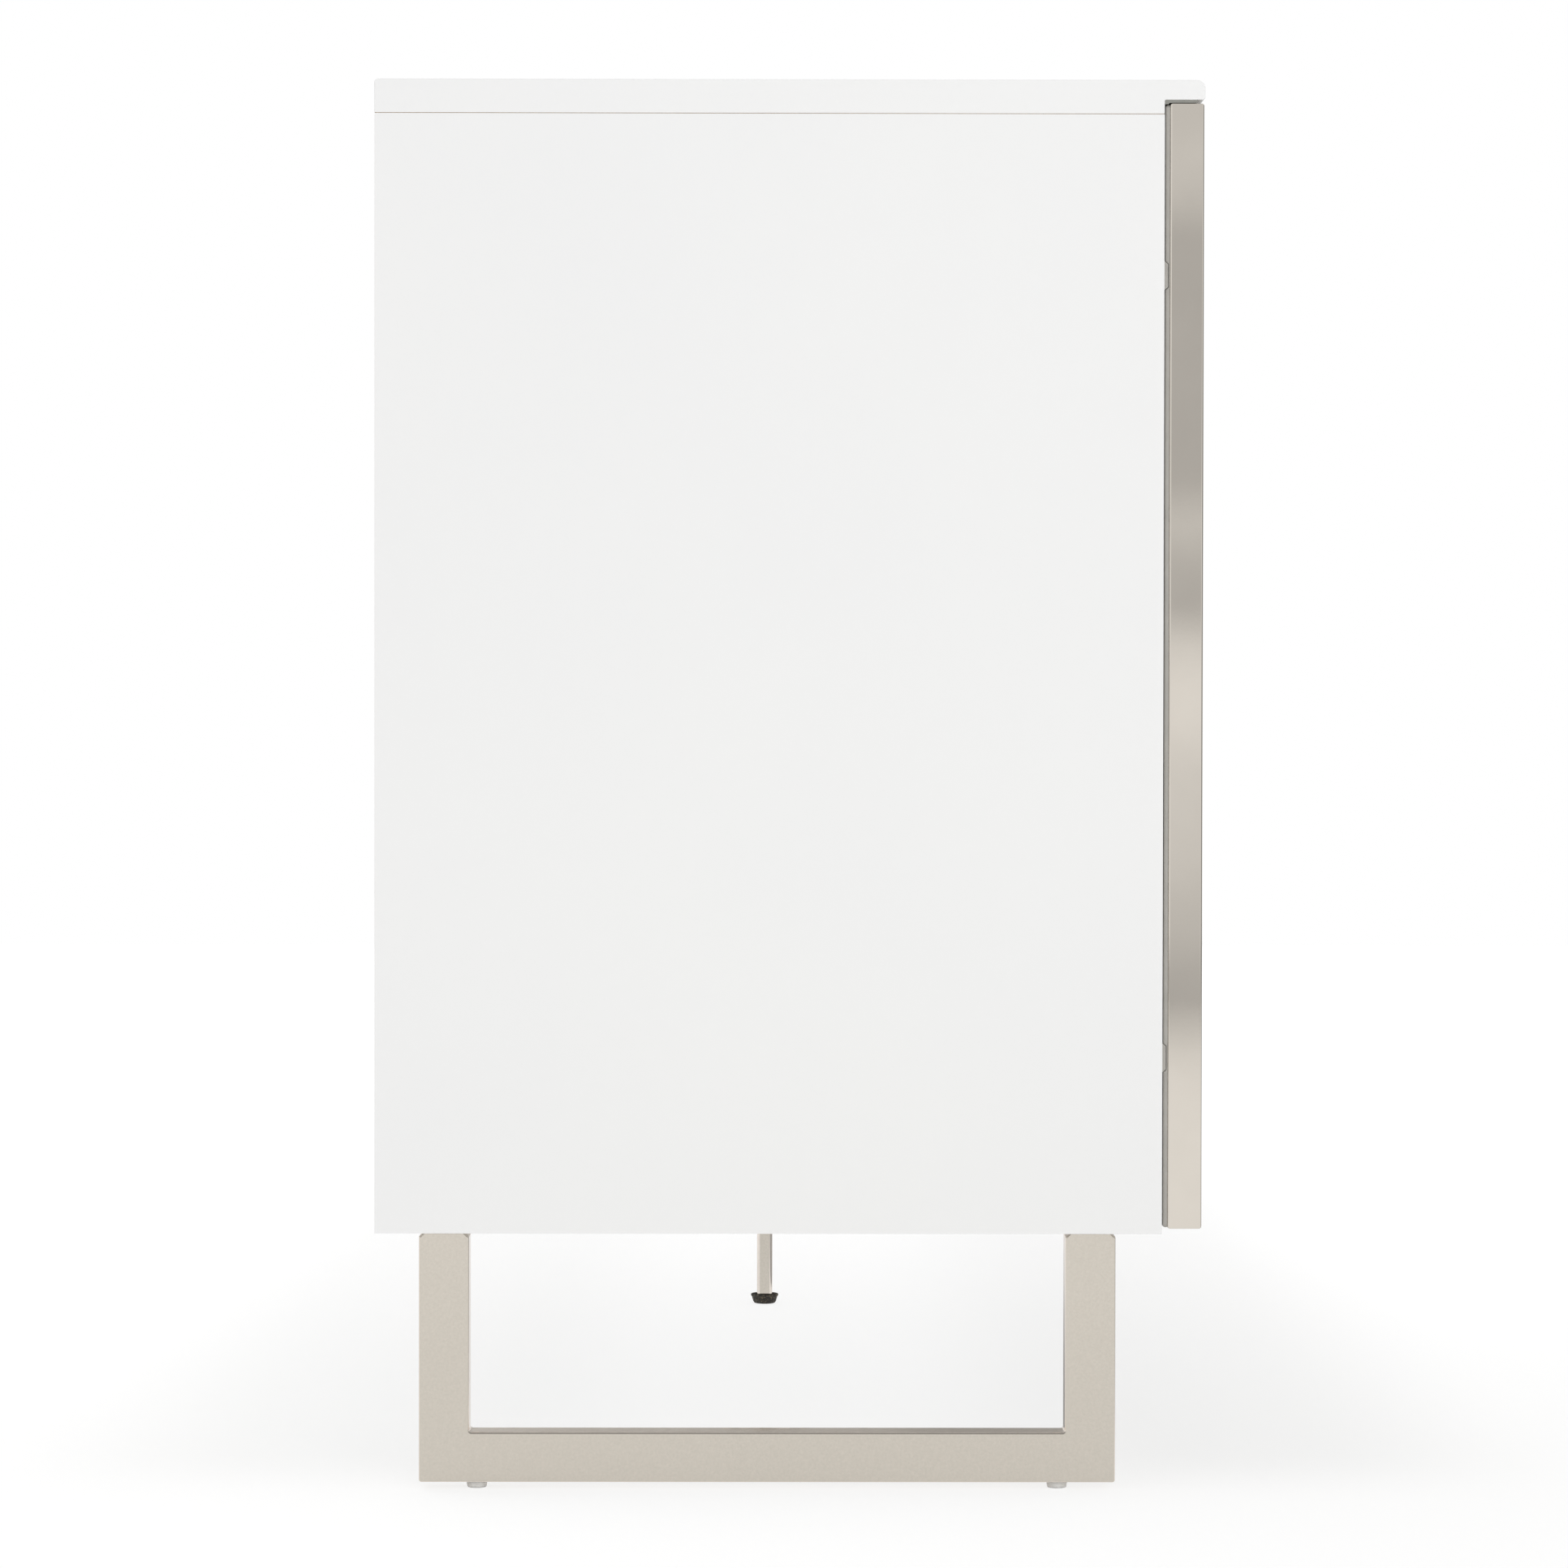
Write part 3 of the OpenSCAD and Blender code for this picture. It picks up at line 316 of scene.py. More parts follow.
def eased_copy(node, ease, material, bore_material=None):
    """A copy of a CAD node with its doubles merged, its flat faces joined and its edges
    eased. Faces that lie inside the solid's box are bores and may have a material of their
    own."""
    mesh = bmesh.new()
    mesh.from_mesh(frame["nodes"][node].data)
    bmesh.ops.remove_doubles(mesh, verts=mesh.verts, dist=DOUBLE)
    bmesh.ops.dissolve_limit(mesh, angle_limit=math.radians(FLAT), verts=mesh.verts,
                             edges=mesh.edges)
    name = node + "_eased"
    data = bpy.data.meshes.new(name)
    mesh.to_mesh(data)
    mesh.free()
    data.materials.clear()
    obj = linked(name, data)
    data.materials.append(material)
    if bore_material:
        data.materials.append(bore_material)
        low, high = corners(node)
        centre = face_centres(data)
        depth = np.minimum(centre - low, high - centre).min(1)
        data.polygons.foreach_set("material_index", (depth > BORE_DEPTH).astype(np.int32))
    smooth(data, SHARP)
    bevel = obj.modifiers.new("Eased edges", "BEVEL")
    for setting, value in (("width", ease), ("segments", 2), ("limit_method", "ANGLE"),
                           ("angle_limit", math.radians(EASED)), ("use_clamp_overlap", True),
                           ("harden_normals", True)):
        setattr(bevel, setting, value)
    take_place(obj, [node])


# ---------- materials ----------

def add(tree, kind, links=None, stops=(), **settings):
    """Adds a node: settings go to its own properties, each entry of links is a value or
    another node's socket for the input of that name or number, and stops are a ramp's places
    and linear colours."""
    node = tree.nodes.new(kind)
    for key, value in settings.items():
        setattr(node, key, value)
    for key, value in (links or {}).items():
        if isinstance(value, bpy.types.NodeSocket):
            tree.links.new(value, node.inputs[key])
        else:
            node.inputs[key].default_value = value
    for number, (place, tone) in enumerate(stops):
        if number > 1:
            node.color_ramp.elements.new(1)
        node.color_ramp.elements[-1 if number else 0].position = place
        node.color_ramp.elements[-1 if number else 0].color = tone
    return node


def blank(name):
    """A new material with an empty node tree."""
    material = bpy.data.materials.new(name)
    material.use_nodes = True
    material.node_tree.nodes.clear()
    return material, material.node_tree


def finish(name, **values):
    """A new material with its output, a Principled shader that carries the values, and
    Object coordinates in metres."""
    material, tree = blank(name)
    shader = add(tree, "ShaderNodeBsdfPrincipled", values)
    add(tree, "ShaderNodeOutputMaterial", {"Surface": shader.outputs[0]})
    return material, tree, shader, add(tree, "ShaderNodeTexCoord").outputs["Object"]


def mottle(tree, shader, place, wave, dark, light, detail=3.0, spread=0.2):
    """Base colour that drifts between two tones over a wave length in metres, faster where
    the spread is small."""
    drift(tree, shader, place, wave, [(0.5 - spread, dark), (0.5 + spread, light)], detail)


def drift(tree, shader, place, wave, stops, detail, rough=0.55):
    """Base colour from a ramp that a noise runs along."""
    noise = add(tree, "ShaderNodeTexNoise", {"Vector": place, "Scale": 1 / wave,
                                             "Detail": detail, "Roughness": rough})
    ramp = add(tree, "ShaderNodeValToRGB", {"Fac": noise.outputs["Fac"]}, stops=stops)
    tree.links.new(ramp.outputs["Color"], shader.inputs["Base Color"])


def relief(tree, shader, place, waves):
    """Bump from noises: each entry is a wave length and a height, both in metres."""
    normal = None
    for wave, height in waves:
        noise = add(tree, "ShaderNodeTexNoise", {"Vector": place, "Scale": 1 / wave,
                                                 "Detail": 2.0, "Roughness": 0.5})
        links = {"Height": noise.outputs["Fac"], "Distance": height, "Strength": 1.0}
        if normal:
            links["Normal"] = normal
        normal = add(tree, "ShaderNodeBump", links).outputs["Normal"]
    tree.links.new(normal, shader.inputs["Normal"])


def smears(tree, shader, place, wave, low, high):
    """Roughness that drifts between two values, as handling and polishing leave it."""
    noise = add(tree, "ShaderNodeTexNoise", {"Vector": place, "Scale": 1 / wave,
                                             "Detail": 4.0, "Roughness": 0.6})
    span = add(tree, "ShaderNodeMapRange", {"Value": noise.outputs["Fac"], "From Min": 0.3,
                                            "From Max": 0.7, "To Min": low, "To Max": high})
    tree.links.new(span.outputs["Result"], shader.inputs["Roughness"])


def surface(name, tones, rough=None, bumps=(), **values):
    """A material from its tones (wave length, dark, light, and perhaps detail and spread),
    its roughness (wave length, low, high) and its bumps (wave length and height each).
    A tone is a hex value or the name of a colour setting. Lengths are in metres."""
    material, tree, shader, place = finish(
        name, **{key.replace("_", " "): value for key, value in values.items()})
    colours = bpy.context.scene.cabinet_colours
    wave, dark, light, *more = tones
    mottle(tree, shader, place, wave, *(
        linear(tone) if tone[0] == "#" else getattr(colours, tone)[:]
        for tone in (dark, light)), *more)
    if rough:
        smears(tree, shader, place, *rough)
    if bumps:
        relief(tree, shader, place, bumps)
    return material


def black_rubber():
    """Vulcanised rubber foot: near black and matt, with pale dust in its pores."""
    material, tree, shader, place = finish("black vulcanised rubber", IOR=1.52)
    drift(tree, shader, place, 0.0019, [(0.46, linear("#24211E")), (0.56, linear("#4B453C")),
                                        (0.63, linear("#94896F"))], 5.0, 0.75)
    smears(tree, shader, place, 0.002, 0.5, 0.8)
    relief(tree, shader, place, [(0.0011, 0.00008)])
    return material


STEEL = {"Metallic": 1.0}
FINISHES = {
    # Satin polyurethane lacquer sprayed on fibreboard: an even soft white with a faint
    # orange peel, 3 mm from hump to hump, and tones that differ by under a hundredth.
    "lacquer": dict(name="satin white lacquer, sprayed", IOR=1.5,
                    tones=(0.35, "lacquer_shade", "lacquer"), rough=(0.06, 0.33, 0.4),
                    bumps=[(0.003, 0.000012), (0.04, 0.00003)]),
    # White melamine foil on a hardboard back: flatter and a little greyer than lacquer,
    # with a fine pebble 1.2 mm across.
    "melamine": dict(name="white melamine-faced hardboard", IOR=1.5,
                     tones=(0.2, "melamine_shade", "melamine"), rough=(0.05, 0.48, 0.58),
                     bumps=[(0.0012, 0.00002)]),
    # Bare medium-density fibreboard, as a drill leaves it in a hole: matt brown fibres about
    # half a millimetre long. Its brown also draws the thin line under the top's ends, as
    # painted shade in the seam.
    "fibreboard": dict(name="bare fibreboard, drilled", Roughness=0.9, IOR=1.45,
                       tones=(0.0008, "#8F744F", "#B79A72", 5.0)),
    # Stainless steel tube, mirror polished by belt and buff: a warm grey mirror whose flats
    # wave by a few hundredths of a millimetre, with a haze of polishing marks.
    "polished": dict(name="stainless steel, buffed to a mirror", **STEEL,
                     tones=(0.05, "steel_shade", "steel", 5.0), rough=(0.03, 0.02, 0.04),
                     bumps=[(0.16, 0.00004), (0.0016, 0.0000004)]),
    # Stainless steel tube, vapour blasted and lightly buffed: a warm satin grey with a fine
    # grain. The real grit is finer than a render shows, so it is drawn 1.3 mm across.
    "satin": dict(name="stainless steel, blasted satin", **STEEL,
                  tones=(0.0013, "satin_shade", "satin", 4.0, 0.3), rough=(0.04, 0.1, 0.15),
                  bumps=[(0.15, 0.00015), (0.0013, 0.0000008)]),
    # Face of the stainless square rod, drawn through a die: smoother than the sleds.
    "drawn": dict(name="stainless steel, drawn bright", **STEEL,
                  tones=(0.0013, "satin_shade", "satin", 4.0, 0.3), rough=(0.02, 0.06, 0.1),
                  bumps=[(0.08, 0.00002)]),
    # Painted highlight: the rod's round corners and the narrow sides of the sleds' tube get a
    # paler copy of the steel than the faces, so that they catch clear bright lines.
    "burnished": dict(name="stainless steel, burnished edge", **STEEL,
                      Specular_Tint=linear("#F5F1EC"), tones=(0.006, "edge_shade", "edge"),
                      rough=(0.02, 0.04, 0.07), bumps=[(0.08, 0.00002)]),
    # Zinc-plated steel screws and cams: cool grey with a faint blue and yellow bloom.
    "zinc": dict(name="zinc-plated steel, passivated", **STEEL,
                 tones=(0.004, "#B9B9AE", "#CFD2D6", 4.0), rough=(0.002, 0.25, 0.4),
                 bumps=[(0.0009, 0.000006)]),
    # Nickel-plated pressings of the hinges: bright, slightly warm, with soft die marks.
    "nickel": dict(name="nickel-plated pressed steel", **STEEL,
                   tones=(0.008, "#C4BEB4", "#D6D1C8"), rough=(0.006, 0.14, 0.26),
                   bumps=[(0.006, 0.00002), (0.0008, 0.000002)]),
    # Polyethylene glides: milky grey-white plastic that lets a little light in, scuffed
    # where it slides.
    "glide": dict(name="milky polyethylene, moulded", IOR=1.51, Subsurface_Weight=0.8,
                  Subsurface_Radius=(0.006, 0.006, 0.006), Subsurface_Scale=1.0,
                  tones=(0.003, "#E6E5E1", "#F1F0ED", 4.0), rough=(0.002, 0.35, 0.55),
                  bumps=[(0.001, 0.00001)]),
    # Injection-moulded plastics of latches and outlets: an even colour, and a fine
    # spark-eroded grain that softens its shine.
    "white plastic": dict(name="white polystyrene, moulded", IOR=1.49,
                          tones=(0.01, "#E6E6E3", "#EEEEEC"), rough=(0.004, 0.38, 0.5),
                          bumps=[(0.0007, 0.000012)]),
    "grey plastic": dict(name="grey acetal, moulded", IOR=1.49,
                         tones=(0.01, "#8A8C8E", "#96989A"), rough=(0.004, 0.3, 0.42),
                         bumps=[(0.0006, 0.000012)]),
    # Extruded elastomer of the buffers and pads: a pale, even, half-matt grey line.
    "buffer": dict(name="pale grey elastomer, extruded", IOR=1.49,
                   tones=(0.01, "#ABA8A2", "#B4B1AB"), rough=(0.004, 0.45, 0.6),
                   bumps=[(0.0009, 0.000012)]),
    # Foam rubber seal with its closed skin: a darker and duller grey than the buffers.
    "seal": dict(name="grey foam rubber, sealed skin", IOR=1.49,
                 tones=(0.01, "#8C8C86", "#979791"), rough=(0.004, 0.5, 0.65),
                 bumps=[(0.0009, 0.000012)]),
}
made = {}


def of(name):
    """The material of that finish, made once."""
    if name not in made:
        made[name] = black_rubber() if name == "rubber" else surface(**FINISHES[name])
    return made[name]


# ---------- what a user may change ----------

def colour(name, description, value):
    """A colour property with an sRGB default."""
    return bpy.props.FloatVectorProperty(name=name, description=description, size=4, min=0,
                                         max=1, subtype="COLOR", default=linear(value))


def size(name, description, value):
    """A length property in metres."""
    return bpy.props.FloatProperty(name=name, description=description, default=value,
                                   min=0, unit="LENGTH", precision=5)


def amount(name, description, value):
    """A plain share or level."""
    return bpy.props.FloatProperty(name=name, description=description, default=value, min=0)


def power(name, description, value):
    """A lamp's power in watts."""
    return bpy.props.FloatProperty(name=name, description=description, default=value, min=0,
                                   unit="POWER")


class CabinetSizes(bpy.types.PropertyGroup):
    """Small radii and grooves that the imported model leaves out."""
    board_ease: size("Board edges", "Radius of the boards' sanded edges", 0.6 * MM)
    top_ease: size("Top's end edges", "Radius where the top's ends meet its faces", 0.6 * MM)
    # height of the dark strip under the top's ends, painted shade in the joint on the side
    # panels
    seam: size("Top's seam", "Bare height at the seam under the top's ends", 0.4 * MM)
    lip_radius: size("Lip, upper edge", "Radius of the top's front upper edge", 4.8 * MM)
    lip_under: size("Lip, lower edge", "Radius of the top's front lower edge", 2 * MM)
    rear_radius: size("Top, rear edge", "Radius of the top's rear upper edge", 2 * MM)
    tube_radius: size("Door tube", "Corner radius of the door frame's tube", 1.4 * MM)
    rail: size("Door tube's width", "Width of the door frame's tube", 30 * MM)
    rail_wall: size("Door tube's wall", "Wall of the door frame's tube", 1.5 * MM)
    mitre_run: size("Mitre, half width", "Half width of the dressed weld", 0.35 * MM)
    mitre_deep: size("Mitre, depth", "Depth of the dressed weld", 0.07 * MM)
    sled_radius: size("Sled tube", "Corner radius of the sled's tube", 1.3 * MM)
    sled_face: size("Sled tube's face", "Width of the sled's tube seen from the end", 28 * MM)
    sled_deep: size("Sled tube's depth", "Depth of the sled's tube along X", 20 * MM)
    # the sled's end face keeps the satin tone to this depth, and behind it the steel takes the
    # paler tone of the painted highlight
    sled_bright: size("Sled's bright sides", "Depth at which the satin face ends", 0.4 * MM)
    sled_cut: size("Post's cut corner", "Cut corner at the top of a post", 2.8 * MM)
    plate: size("Fixing plates", "Thickness of the feet's fixing plates", 3 * MM)
    leg: size("Middle leg", "Side of the square middle leg", 11 * MM)
    leg_radius: size("Middle leg, corners", "Corner radius of the middle leg", 2 * MM)
    buffer_side: size("Buffer, side", "Distance of the buffer from the door's sides", 1.5 * MM)
    buffer_top: size("Buffer, top", "Distance of the buffer from the door's top and bottom",
                     0.5 * MM)
    buffer_low: amount("Buffer, low part", "Share of the buffer's height at the hinges", 0.3)
    seal: size("Seal under the lip", "Thickness of the soft seal under the lip", 1.6 * MM)
    seal_back: size("Seal, front", "Distance of the seal from the doors' faces", 4 * MM)
    seal_heel: size("Seal, heel", "Gap between the doors' rear and the seal's heel", 0.6 * MM)


class CabinetColours(bpy.types.PropertyGroup):
    """Colours of the finishes."""
    lacquer: colour("Lacquer", "Lighter tone of the white lacquer", "#F4F4F3")
    lacquer_shade: colour("Lacquer, shade", "Darker tone of the white lacquer", "#F2F2F2")
    melamine: colour("Melamine", "Lighter tone of the back panels", "#EDEDEC")
    melamine_shade: colour("Melamine, shade", "Darker tone of the back panels", "#E9E9E8")
    steel: colour("Polished steel", "Lighter tone of the door frames", "#DED7CD")
    steel_shade: colour("Polished steel, shade", "Darker tone of the door frames", "#D9D2C8")
    satin: colour("Satin steel", "Lighter tone of the feet", "#D8D1C6")
    satin_shade: colour("Satin steel, shade", "Darker tone of the feet", "#D0C9BE")
    # two tones of a paler copy of the satin steel on the feet's corners and sides: a painted
    # highlight
    edge: colour("Highlit steel", "Lighter tone of the feet's bright edges", "#F1E9E0")
    edge_shade: colour("Highlit steel, shade", "Darker tone of the feet's bright edges",
                       "#ECE3DA")


class CabinetStage(bpy.types.PropertyGroup):
    """Floor, lamps and camera."""
    floor_reach: size("Floor", "Half the side of the floor", 5.3)
    floor_white: amount("Floor's white", "Level of the white that the camera sees", 1.14)
    floor_shadow: amount("Floor's shadow", "Share of the paper that takes the shadow", 0.265)
    shadow_reach: size("Shadow's reach", "Distance at which the shadow begins to fade", 1.2)
    sky: amount("Sky", "Level of the even light", 0.72)
    key: power("Lamp above", "Power of the lamp above the cabinet", 26)
    near: power("Near lamp", "Power of the lamp before the near end", 61)
    front: power("Front lamp", "Power of the lamp before the doors", 22)
    lens: bpy.props.FloatProperty(name="Lens", description="Focal length", default=120.747,
                                  min=1, unit="CAMERA")


# ---------- door frames ----------

# near and far side of a hinge cup's pocket from the frame's outer edge, and its half height
POCKET_NEAR, POCKET_FAR, POCKET_HALF = 3.5 * MM, 28 * MM, 12 * MM
# a frame's solids up to this length are its tabs, and the longer ones its tubes
LONGEST_TAB = 60 * MM
# reach within which a tab's side counts as welded, its corners there and at the free end,
# and the ease of its faces
WELD_REACH, WELDED_CORNER, FREE_CORNER, TAB_EASE = 0.5 * MM, 0.3 * MM, 4 * MM, 0.25 * MM


def cup_heights(n):
    """Heights of the middles of a door's hinge cups."""
    return [(a + b)[2] / 2 for a, b in solids(f"door_{n}_hinge_cups")]


def tube_frame(n, sizes):
    """Shell of a door's frame: a tube section carried round the door. At a corner each
    section point goes in along the mitre, and the section is a little smaller there for the
    dressed weld. On the hinged side, cells of the rear face open into the cups' pockets."""
    low, high = corners(f"door_{n}_frame")
    deep = high[1] - low[1]
    # the section's first axis is the depth from the front, its second the way in
    section = box_outline((0, 0), (deep, sizes.rail), sizes.tube_radius, 5)
    rear = int(np.argmax(section[:, 1] > sizes.rail / 2))
    section = np.insert(section, rear, [[deep, POCKET_NEAR], [deep, POCKET_FAR]], 0)
    dressed = inset(section, sizes.mitre_deep)
    corner = np.array([(low[0], low[2]), (high[0], low[2]), (high[0], high[2]),
                       (low[0], high[2])])
    run = np.roll(corner, -1, 0) - corner
    length = np.linalg.norm(run, axis=1)
    run /= length[:, None]
    inward = np.stack([-run[:, 1], run[:, 0]], 1)
    hinged = 3 if HINGED_LEFT[n] else 1
    cups = cup_heights(n)
    rings, pockets = [], []
    for side in range(4):
        mitre, next_mitre = inward[side - 1] + inward[side], inward[side] + inward[side - 3]
        start = corner[side]
        rings += [(dressed, start, mitre),
                  (section, start + run[side] * sizes.mitre_run, mitre)]
        if side == hinged:
            marks = np.sort(np.abs(np.add.outer(cups, (-POCKET_HALF, POCKET_HALF)).ravel()
                                   - start[1]))
            pockets = len(rings) + 2 * np.arange(len(cups))
            rings += [(section, start + run[side] * mark, inward[side]) for mark in marks]
        rings.append((section, start + run[side] * (length[side] - sizes.mitre_run),
                      next_mitre))
    cut, place, go = (np.stack(column) for column in zip(*rings))
    flat = place[:, None] + cut[..., 1:] * go[:, None]
    grid = np.stack([flat[..., 0], low[1] + cut[..., 0], flat[..., 1]], 2)
    verts, faces = skin(grid, loop=True)
    first = pockets * len(section) + rear
    tube = open_pockets(verts, np.array(faces), first, len(section),
                        low[1] + sizes.rail_wall)
    return joined([tube] + tab_shells(n, sizes))


def open_pockets(verts, faces, first, count, floor_y):
    """Takes out the cells that begin at the first points, and lines each hole with four
    walls from its rim to a copy of the rim at the floor's depth, and with that floor."""
    rim = first[:, None] + np.array([0, 1, count + 1, count])
    floor = verts[rim]
    floor[..., 1] = floor_y
    inner = len(verts) + np.arange(rim.size).reshape(rim.shape)
    walls = np.stack([rim, np.roll(rim, -1, 1), np.roll(inner, -1, 1), inner], 2)
    faces = np.concatenate([faces[~np.isin(faces[:, 0], first)], walls.reshape(-1, 4), inner])
    return np.concatenate([verts, floor.reshape(-1, 3)]), faces.tolist()


def tab_shells(n, sizes):
    """The welded tabs: thin plates with two round corners at the free end."""
    low, high = corners(f"door_{n}_frame")
    near = low + sizes.rail
    far = high - sizes.rail
    shells = []
    for a, b in solids(f"door_{n}_frame"):
        if (b - a).max() > LONGEST_TAB:
            continue
        left, right = abs(a[0] - near[0]) < WELD_REACH, abs(b[0] - far[0]) < WELD_REACH
        under, over = abs(a[2] - near[2]) < WELD_REACH, abs(b[2] - far[2]) < WELD_REACH
        radii = [WELDED_CORNER if welded else FREE_CORNER
                 for welded in (left or under, left or over, right or over, right or under)]
        outline = rounded([(a[2], a[0]), (b[2], a[0]), (b[2], b[0]), (a[2], b[0])], radii, 5)
        shells.append(skin(prism_rings(outline, a[1], b[1], TAB_EASE, "zxy", 3)))
    return shells


# distance from the outline and height of the buffer's section, a soft hump
BUFFER = np.array([(0, 0), (0, 0.9), (0.12, 1.5), (0.4, 2.05), (0.85, 2.4), (1.25, 2.5),
                   (1.6, 2.35), (1.82, 1.9), (1.9, 1.2), (1.9, 0)]) * MM
# radius of the round corners that the buffer's outline turns, and the points of each
BUFFER_TURN, TURN_STEPS = 2.2 * MM, 8
# heights about a cup's middle where the buffer begins to sink, and ends
LINK_ROOM = np.array([-8, -6.5, 6.5, 8]) * MM
# clearance between a buffer's low part and the pad behind it, and the pad's round corners
# and ends
PAD_GAP, PAD_CORNER, PAD_END = 0.15 * MM, 0.22 * MM, 0.2 * MM


def buffer_seal(n, sizes):
    """Shell of a door's soft buffer: a humped section carried round the frame's rear face,
    along a rectangle with round corners that each section point draws in by its distance. At
    each cup the section's height sinks to a share of itself, to let the link swing over."""
    low, high = corners(f"door_{n}_frame")
    outline = box_outline((low[2] + sizes.buffer_top, low[0] + sizes.buffer_side),
                          (high[2] - sizes.buffer_top, high[0] - sizes.buffer_side),
                          BUFFER_TURN, TURN_STEPS)
    cups = cup_heights(n)
    marks = np.add.outer(np.sort(cups), LINK_ROOM).ravel()
    shares = np.tile([1, sizes.buffer_low, sizes.buffer_low, 1], len(cups))
    # the outline goes up the left side after its first corner, down the right after the third
    at, marks = ((TURN_STEPS, marks) if HINGED_LEFT[n]
                 else (3 * TURN_STEPS, marks[::-1]))
    added = np.stack([marks, np.full(len(marks), outline[at, 1])], 1)
    outline = np.insert(outline, at, added, axis=0)
    share = np.insert(np.ones(len(outline) - len(marks)), at, shares)
    flat = np.stack([inset(outline, by) for by in BUFFER[:, 0]])
    height = high[1] + BUFFER[:, 1, None] * share
    return skin(np.stack([flat[..., 1], height, flat[..., 0]], 2), loop=True)


def hinge_pads(n, sizes):
    """Shells of the pads that fill a buffer's low parts from the board's edge: wedges that
    widen to the rear beside the buffer's slopes and end a hair behind its low parts."""
    low, high = corners(f"door_{n}_frame")
    wide = BUFFER[-1, 0]
    left = (low[0] + sizes.buffer_side if HINGED_LEFT[n]
            else high[0] - sizes.buffer_side - wide)
    front = high[1] + BUFFER[:, 1].max() * sizes.buffer_low + PAD_GAP
    rear = corners("left_side_panel")[0][1]
    slope = (LINK_ROOM[3] - LINK_ROOM[2]) / (BUFFER[:, 1].max() * (1 - sizes.buffer_low))
    narrow = LINK_ROOM[2] - PAD_GAP / 3
    broad = narrow + (rear - front) * slope
    shells = []
    for cup in cup_heights(n):
        outline = rounded([(front, cup - narrow), (rear, cup - broad), (rear, cup + broad),
                           (front, cup + narrow)], PAD_CORNER)
        shells.append(skin(prism_rings(outline, left, left + wide, PAD_END, "yzx")))
    return shells


# ---------- feet ----------

def sled(node, sign, sizes):
    """Shell of a sled: a U outline seen from the end, carried through the tube's depth and
    drawn in at both faces, with a fixing plate behind the top of each post."""
    low, high = corners(node)
    (back_in, a, bottom), (back_out, b, top) = low, high
    w, cut = sizes.sled_face, sizes.sled_cut
    outline = rounded(
        [(a, bottom), (b, bottom), (b, top - cut), (b - cut, top), (b - w + cut, top),
         (b - w, top - cut), (b - w, bottom + w), (a + w, bottom + w), (a + w, top - cut),
         (a + w - cut, top), (a + cut, top), (a, top - cut)], sizes.sled_radius * DRAW_ROOM)
    outer, inner = (back_out, back_in) if sign > 0 else (back_in, back_out)
    tube = sorted([outer, outer - sign * sizes.sled_deep])
    shells = [skin(prism_rings(outline, *tube, sizes.sled_radius, "yzx", 5))]
    plate = sorted([inner, outer - sign * sizes.sled_deep])
    shells += [eased_box((plate[0], y, top - sizes.plate), (plate[1], y + w, top),
                         PLATE_EASE) for y in (a, b - w)]
    return joined(shells)


# ease of the feet's and the leg's fixing plates, round corner of the leg's plate, and ease
# of the leg's ends
PLATE_EASE, PLATE_CORNER, LEG_END = 0.5 * MM, 5 * MM, 0.2 * MM
# radius and height in millimetres
GLIDE = np.array([(1.5, 0), (4.6, 0), (5.05, 0.12), (5.33, 0.45), (5.5, 1.1), (5.66, 2),
                  (5.83, 3), (5.97, 3.8), (5.9, 3.95), (2.9, 4), (2.9, 12.6), (2.4, 13)]) * MM
# share of the radius, and height as a share of the foot's height
RUBBER = np.array([(0.3, 0), (0.62, 0), (0.71, 0.03), (0.78, 0.1), (0.835, 0.25),
                   (0.885, 0.5), (0.92, 0.68), (0.97, 0.78), (1, 0.88), (0.99, 0.95),
                   (0.95, 1), (0.87, 1), (0.81, 0.965), (0.775, 0.87), (0.765, 0.59),
                   (0.3, 0.54)])


def middle_leg(sizes):
    """Shell of the middle leg: a slim square tube carried upwards, under a square plate with
    round corners."""
    low, high = corners("centre_leg")
    middle = (low + high)[:2] / 2
    half = sizes.leg / 2
    plate_z = high[2] - sizes.plate
    tube = box_outline(middle - half, middle + half, sizes.leg_radius, 7)
    plate = box_outline(low[:2], high[:2], PLATE_CORNER, 8)
    return joined([skin(prism_rings(tube, low[2], plate_z, LEG_END)),
                   skin(prism_rings(plate, plate_z, high[2], PLATE_EASE))])


# ---------- hardware ----------

def shelf_pin(a, b):
    """Shell of a pin with domed ends, turned about an axis along X."""
    r, middle = (b - a)[1] / 2, (a + b) / 2
    profile = [(0.4 * r, a[0]), (0.85 * r, a[0] + 0.3 * MM), (r, a[0] + 0.9 * MM),
               (r, b[0] - 0.9 * MM), (0.85 * r, b[0] - 0.3 * MM), (0.4 * r, b[0])]
    return skin(lathe_rings(profile, (0, middle[1], middle[2]), "x", 24))


def grommet(a, b):
    """Shell of an outlet's liner: a thin sleeve with a soft flange, turned about Y."""
    flange, bore, sleeve = (b - a)[0] / 2, 26 * MM, 29.8 * MM
    back, under = b[1], b[1] - 2 * MM
    profile = [(bore, a[1]), (sleeve, a[1]), (sleeve, under), (flange, under),
               (flange, under + 0.6 * MM), (flange - 0.5 * MM, under + 1.3 * MM),
               (flange - 1.6 * MM, back - 0.15 * MM), (flange - 2.4 * MM, back),
               (bore + 1.4 * MM, back), (bore + 0.4 * MM, back - 0.4 * MM),
               (bore, back - 1.4 * MM)]
    rings = lathe_rings(profile, ((a + b)[0] / 2, 0, (a + b)[2] / 2), "y", 72)
    return skin(rings, loop=True)


